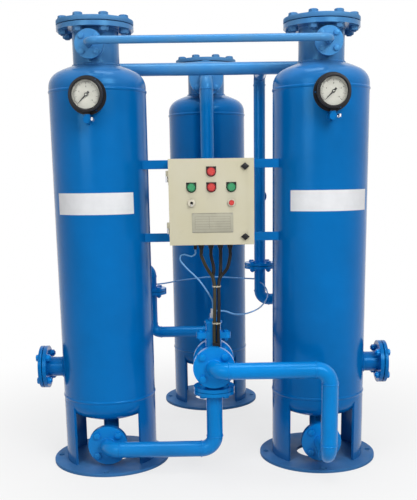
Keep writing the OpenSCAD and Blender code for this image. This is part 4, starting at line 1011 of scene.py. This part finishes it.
for x in (-RIVET_X, RIVET_X):
    for y in (-RIVET_Y, RIVET_Y):
        spot = plate_place @ Matrix.Translation((x, y, 0))
        rivets.rings([circle(r, h, RIVET_SIDES) for r, h in RIVET], spot)
rivets.make("name_plate_rivets", satin_nickel, "door", "bright_steel")

# Collars round the lamps and bushes round the switch and button: places in mm, profiles in metres
LAMP_X, LAMP_LOW, LAMP_HIGH = 70, 51, 105
CONTROL_X, CONTROL_RISE = 70, -3
COLLAR = ((0.0132, 0.002), (0.0163, 0.002), (0.0163, 0.0050), (0.0152, 0.0062), (0.0132, 0.0062))
BUSH_OUTSIDE = ((0.0135, 0.0048), (0.0132, 0.0058), (0.0115, 0.0068))
BUSH_LOW, BUSH_HIGH, SWITCH_BORE, BUTTON_BORE = 0.0048, 0.0064, 0.0054, 0.0095
for name, mat, slot_name, spots in (
    ("red_lamp_collars", collar_red, "red_lens", ((0, LAMP_LOW), (0, LAMP_HIGH))),
    ("green_lamp_collars", collar_green, "green_lens", ((-LAMP_X, LAMP_LOW), (LAMP_X, LAMP_LOW))),
):
    collars = Bag()
    for x, z in spots:
        lathe_ring(collars, on_door(x, z), COLLAR)
    collars.make(name, mat, "door", slot_name)
bushes = Bag()
for x, bore in ((-CONTROL_X, SWITCH_BORE), (CONTROL_X, BUTTON_BORE)):
    profile = ((bore, BUSH_LOW), *BUSH_OUTSIDE, (bore, BUSH_HIGH))
    lathe_ring(bushes, on_door(x, CONTROL_RISE), profile)
bushes.make("control_bushes", ivory_plastic, "door", "white_plastic")

# Diamond knobs on the quarter-turn locks: places in mm, sizes in metres
LOCK_X, LOCK_RISE = 118, 122
KNOB_HALF_W, KNOB_HALF_H, KNOB_CORNER = 0.0155, 0.0130, 0.0015
# Share of the knob's size at each height
KNOB = ((0.97, 0.0040), (1.0, 0.0046), (1.0, 0.0068), (0.86, 0.0080))
for name, z in (("upper_lock", LOCK_RISE), ("lower_lock", -LOCK_RISE)):
    knob = Bag()
    rings = [rounded_diamond(KNOB_HALF_W * k, KNOB_HALF_H * k, KNOB_CORNER, h) for k, h in KNOB]
    knob.rings(rings, on_door(LOCK_X, z))
    knob.make(name + "_knob", mats["black_plastic"], name, "black_plastic")


# Floor, background and light

WHITE = (1, 1, 1, 1)
FLOOR_SIZE, FLOOR_GREY = 40, (0.6, 0.6, 0.6, 1)
# The floor shows this share of plain white up to the near distance, and only white past the far one
NEAR_WHITE, NEAR, FAR = 0.72, 0.3, 1.9
# Strength of the white surroundings as light, and as seen
WORLD_LIGHT, WORLD_SEEN = 0.18, 1.0


def seen_ray(tree):
    """1 for rays from the camera, reflections and glass, and 0 for the rest."""
    path = tree.nodes.new("ShaderNodeLightPath")
    out = path.outputs["Is Camera Ray"]
    for name in ("Is Glossy Ray", "Is Transmission Ray"):
        most = tree.nodes.new("ShaderNodeMath")
        most.operation = "MAXIMUM"
        tree.links.new(out, most.inputs[0])
        tree.links.new(path.outputs[name], most.inputs[1])
        out = most.outputs[0]
    return out


def floor_paint():
    """Pale floor that turns to the background's white with distance and keeps its shadow."""
    m, t, b = material("floor")
    b.inputs["Base Color"].default_value = FLOOR_GREY
    b.inputs["Roughness"].default_value = 0.9
    b.inputs["Specular IOR Level"].default_value = 0.1
    glow = t.nodes.new("ShaderNodeEmission")
    glow.inputs["Color"].default_value = WHITE
    geo = t.nodes.new("ShaderNodeNewGeometry")
    distance = t.nodes.new("ShaderNodeVectorMath")
    distance.operation = "LENGTH"
    t.links.new(geo.outputs["Position"], distance.inputs[0])
    whiter = t.nodes.new("ShaderNodeMapRange")
    whiter.interpolation_type = "SMOOTHSTEP"
    for name, val in (("From Min", NEAR), ("From Max", FAR), ("To Min", NEAR_WHITE)):
        whiter.inputs[name].default_value = val
    t.links.new(distance.outputs["Value"], whiter.inputs["Value"])
    blend = t.nodes.new("ShaderNodeMixShader")
    t.links.new(product(t, whiter.outputs[0], seen_ray(t)), blend.inputs[0])
    t.links.new(b.outputs[0], blend.inputs[1])
    t.links.new(glow.outputs[0], blend.inputs[2])
    t.links.new(blend.outputs[0], t.nodes["Material Output"].inputs["Surface"])
    return m


bpy.ops.mesh.primitive_plane_add(size=FLOOR_SIZE, location=(0, 0, 0))
floor = bpy.context.object
floor.name = "floor"
floor.data.materials.append(floor_paint())

world = bpy.data.worlds.new("world")
scene.world = world
world.use_nodes = True
world_tree = world.node_tree
background = world_tree.nodes["Background"]
strength = world_tree.nodes.new("ShaderNodeMix")
strength.data_type = "FLOAT"
strength.inputs["A"].default_value = WORLD_LIGHT
strength.inputs["B"].default_value = WORLD_SEEN
world_tree.links.new(seen_ray(world_tree), strength.inputs["Factor"])
world_tree.links.new(strength.outputs["Result"], background.inputs["Strength"])
background.inputs["Color"].default_value = WHITE


def area(name, at, target, size, power):
    data = bpy.data.lights.new(name, "AREA")
    data.energy = power
    data.size = size
    ob = bpy.data.objects.new(name, data)
    scene.collection.objects.link(ob)
    ob.location = at
    ob.rotation_euler = (Vector(target) - Vector(at)).to_track_quat("-Z", "Y").to_euler()
    return ob


area("key", at=(2.0, -4.0, 3.2), target=(0, -0.3, 0.8), size=2.2, power=134)
area("fill", at=(-1.9, -3.5, 2.0), target=(0, -0.3, 0.8), size=1.6, power=32)
back = area("back", at=(-0.5, 3.9, 3.0), target=(0, 0, 0.8), size=3.0, power=95)
back.visible_glossy = False
area("sky", at=(0, -1.2, 4.4), target=(0, -0.5, 0.8), size=1.9, power=64)
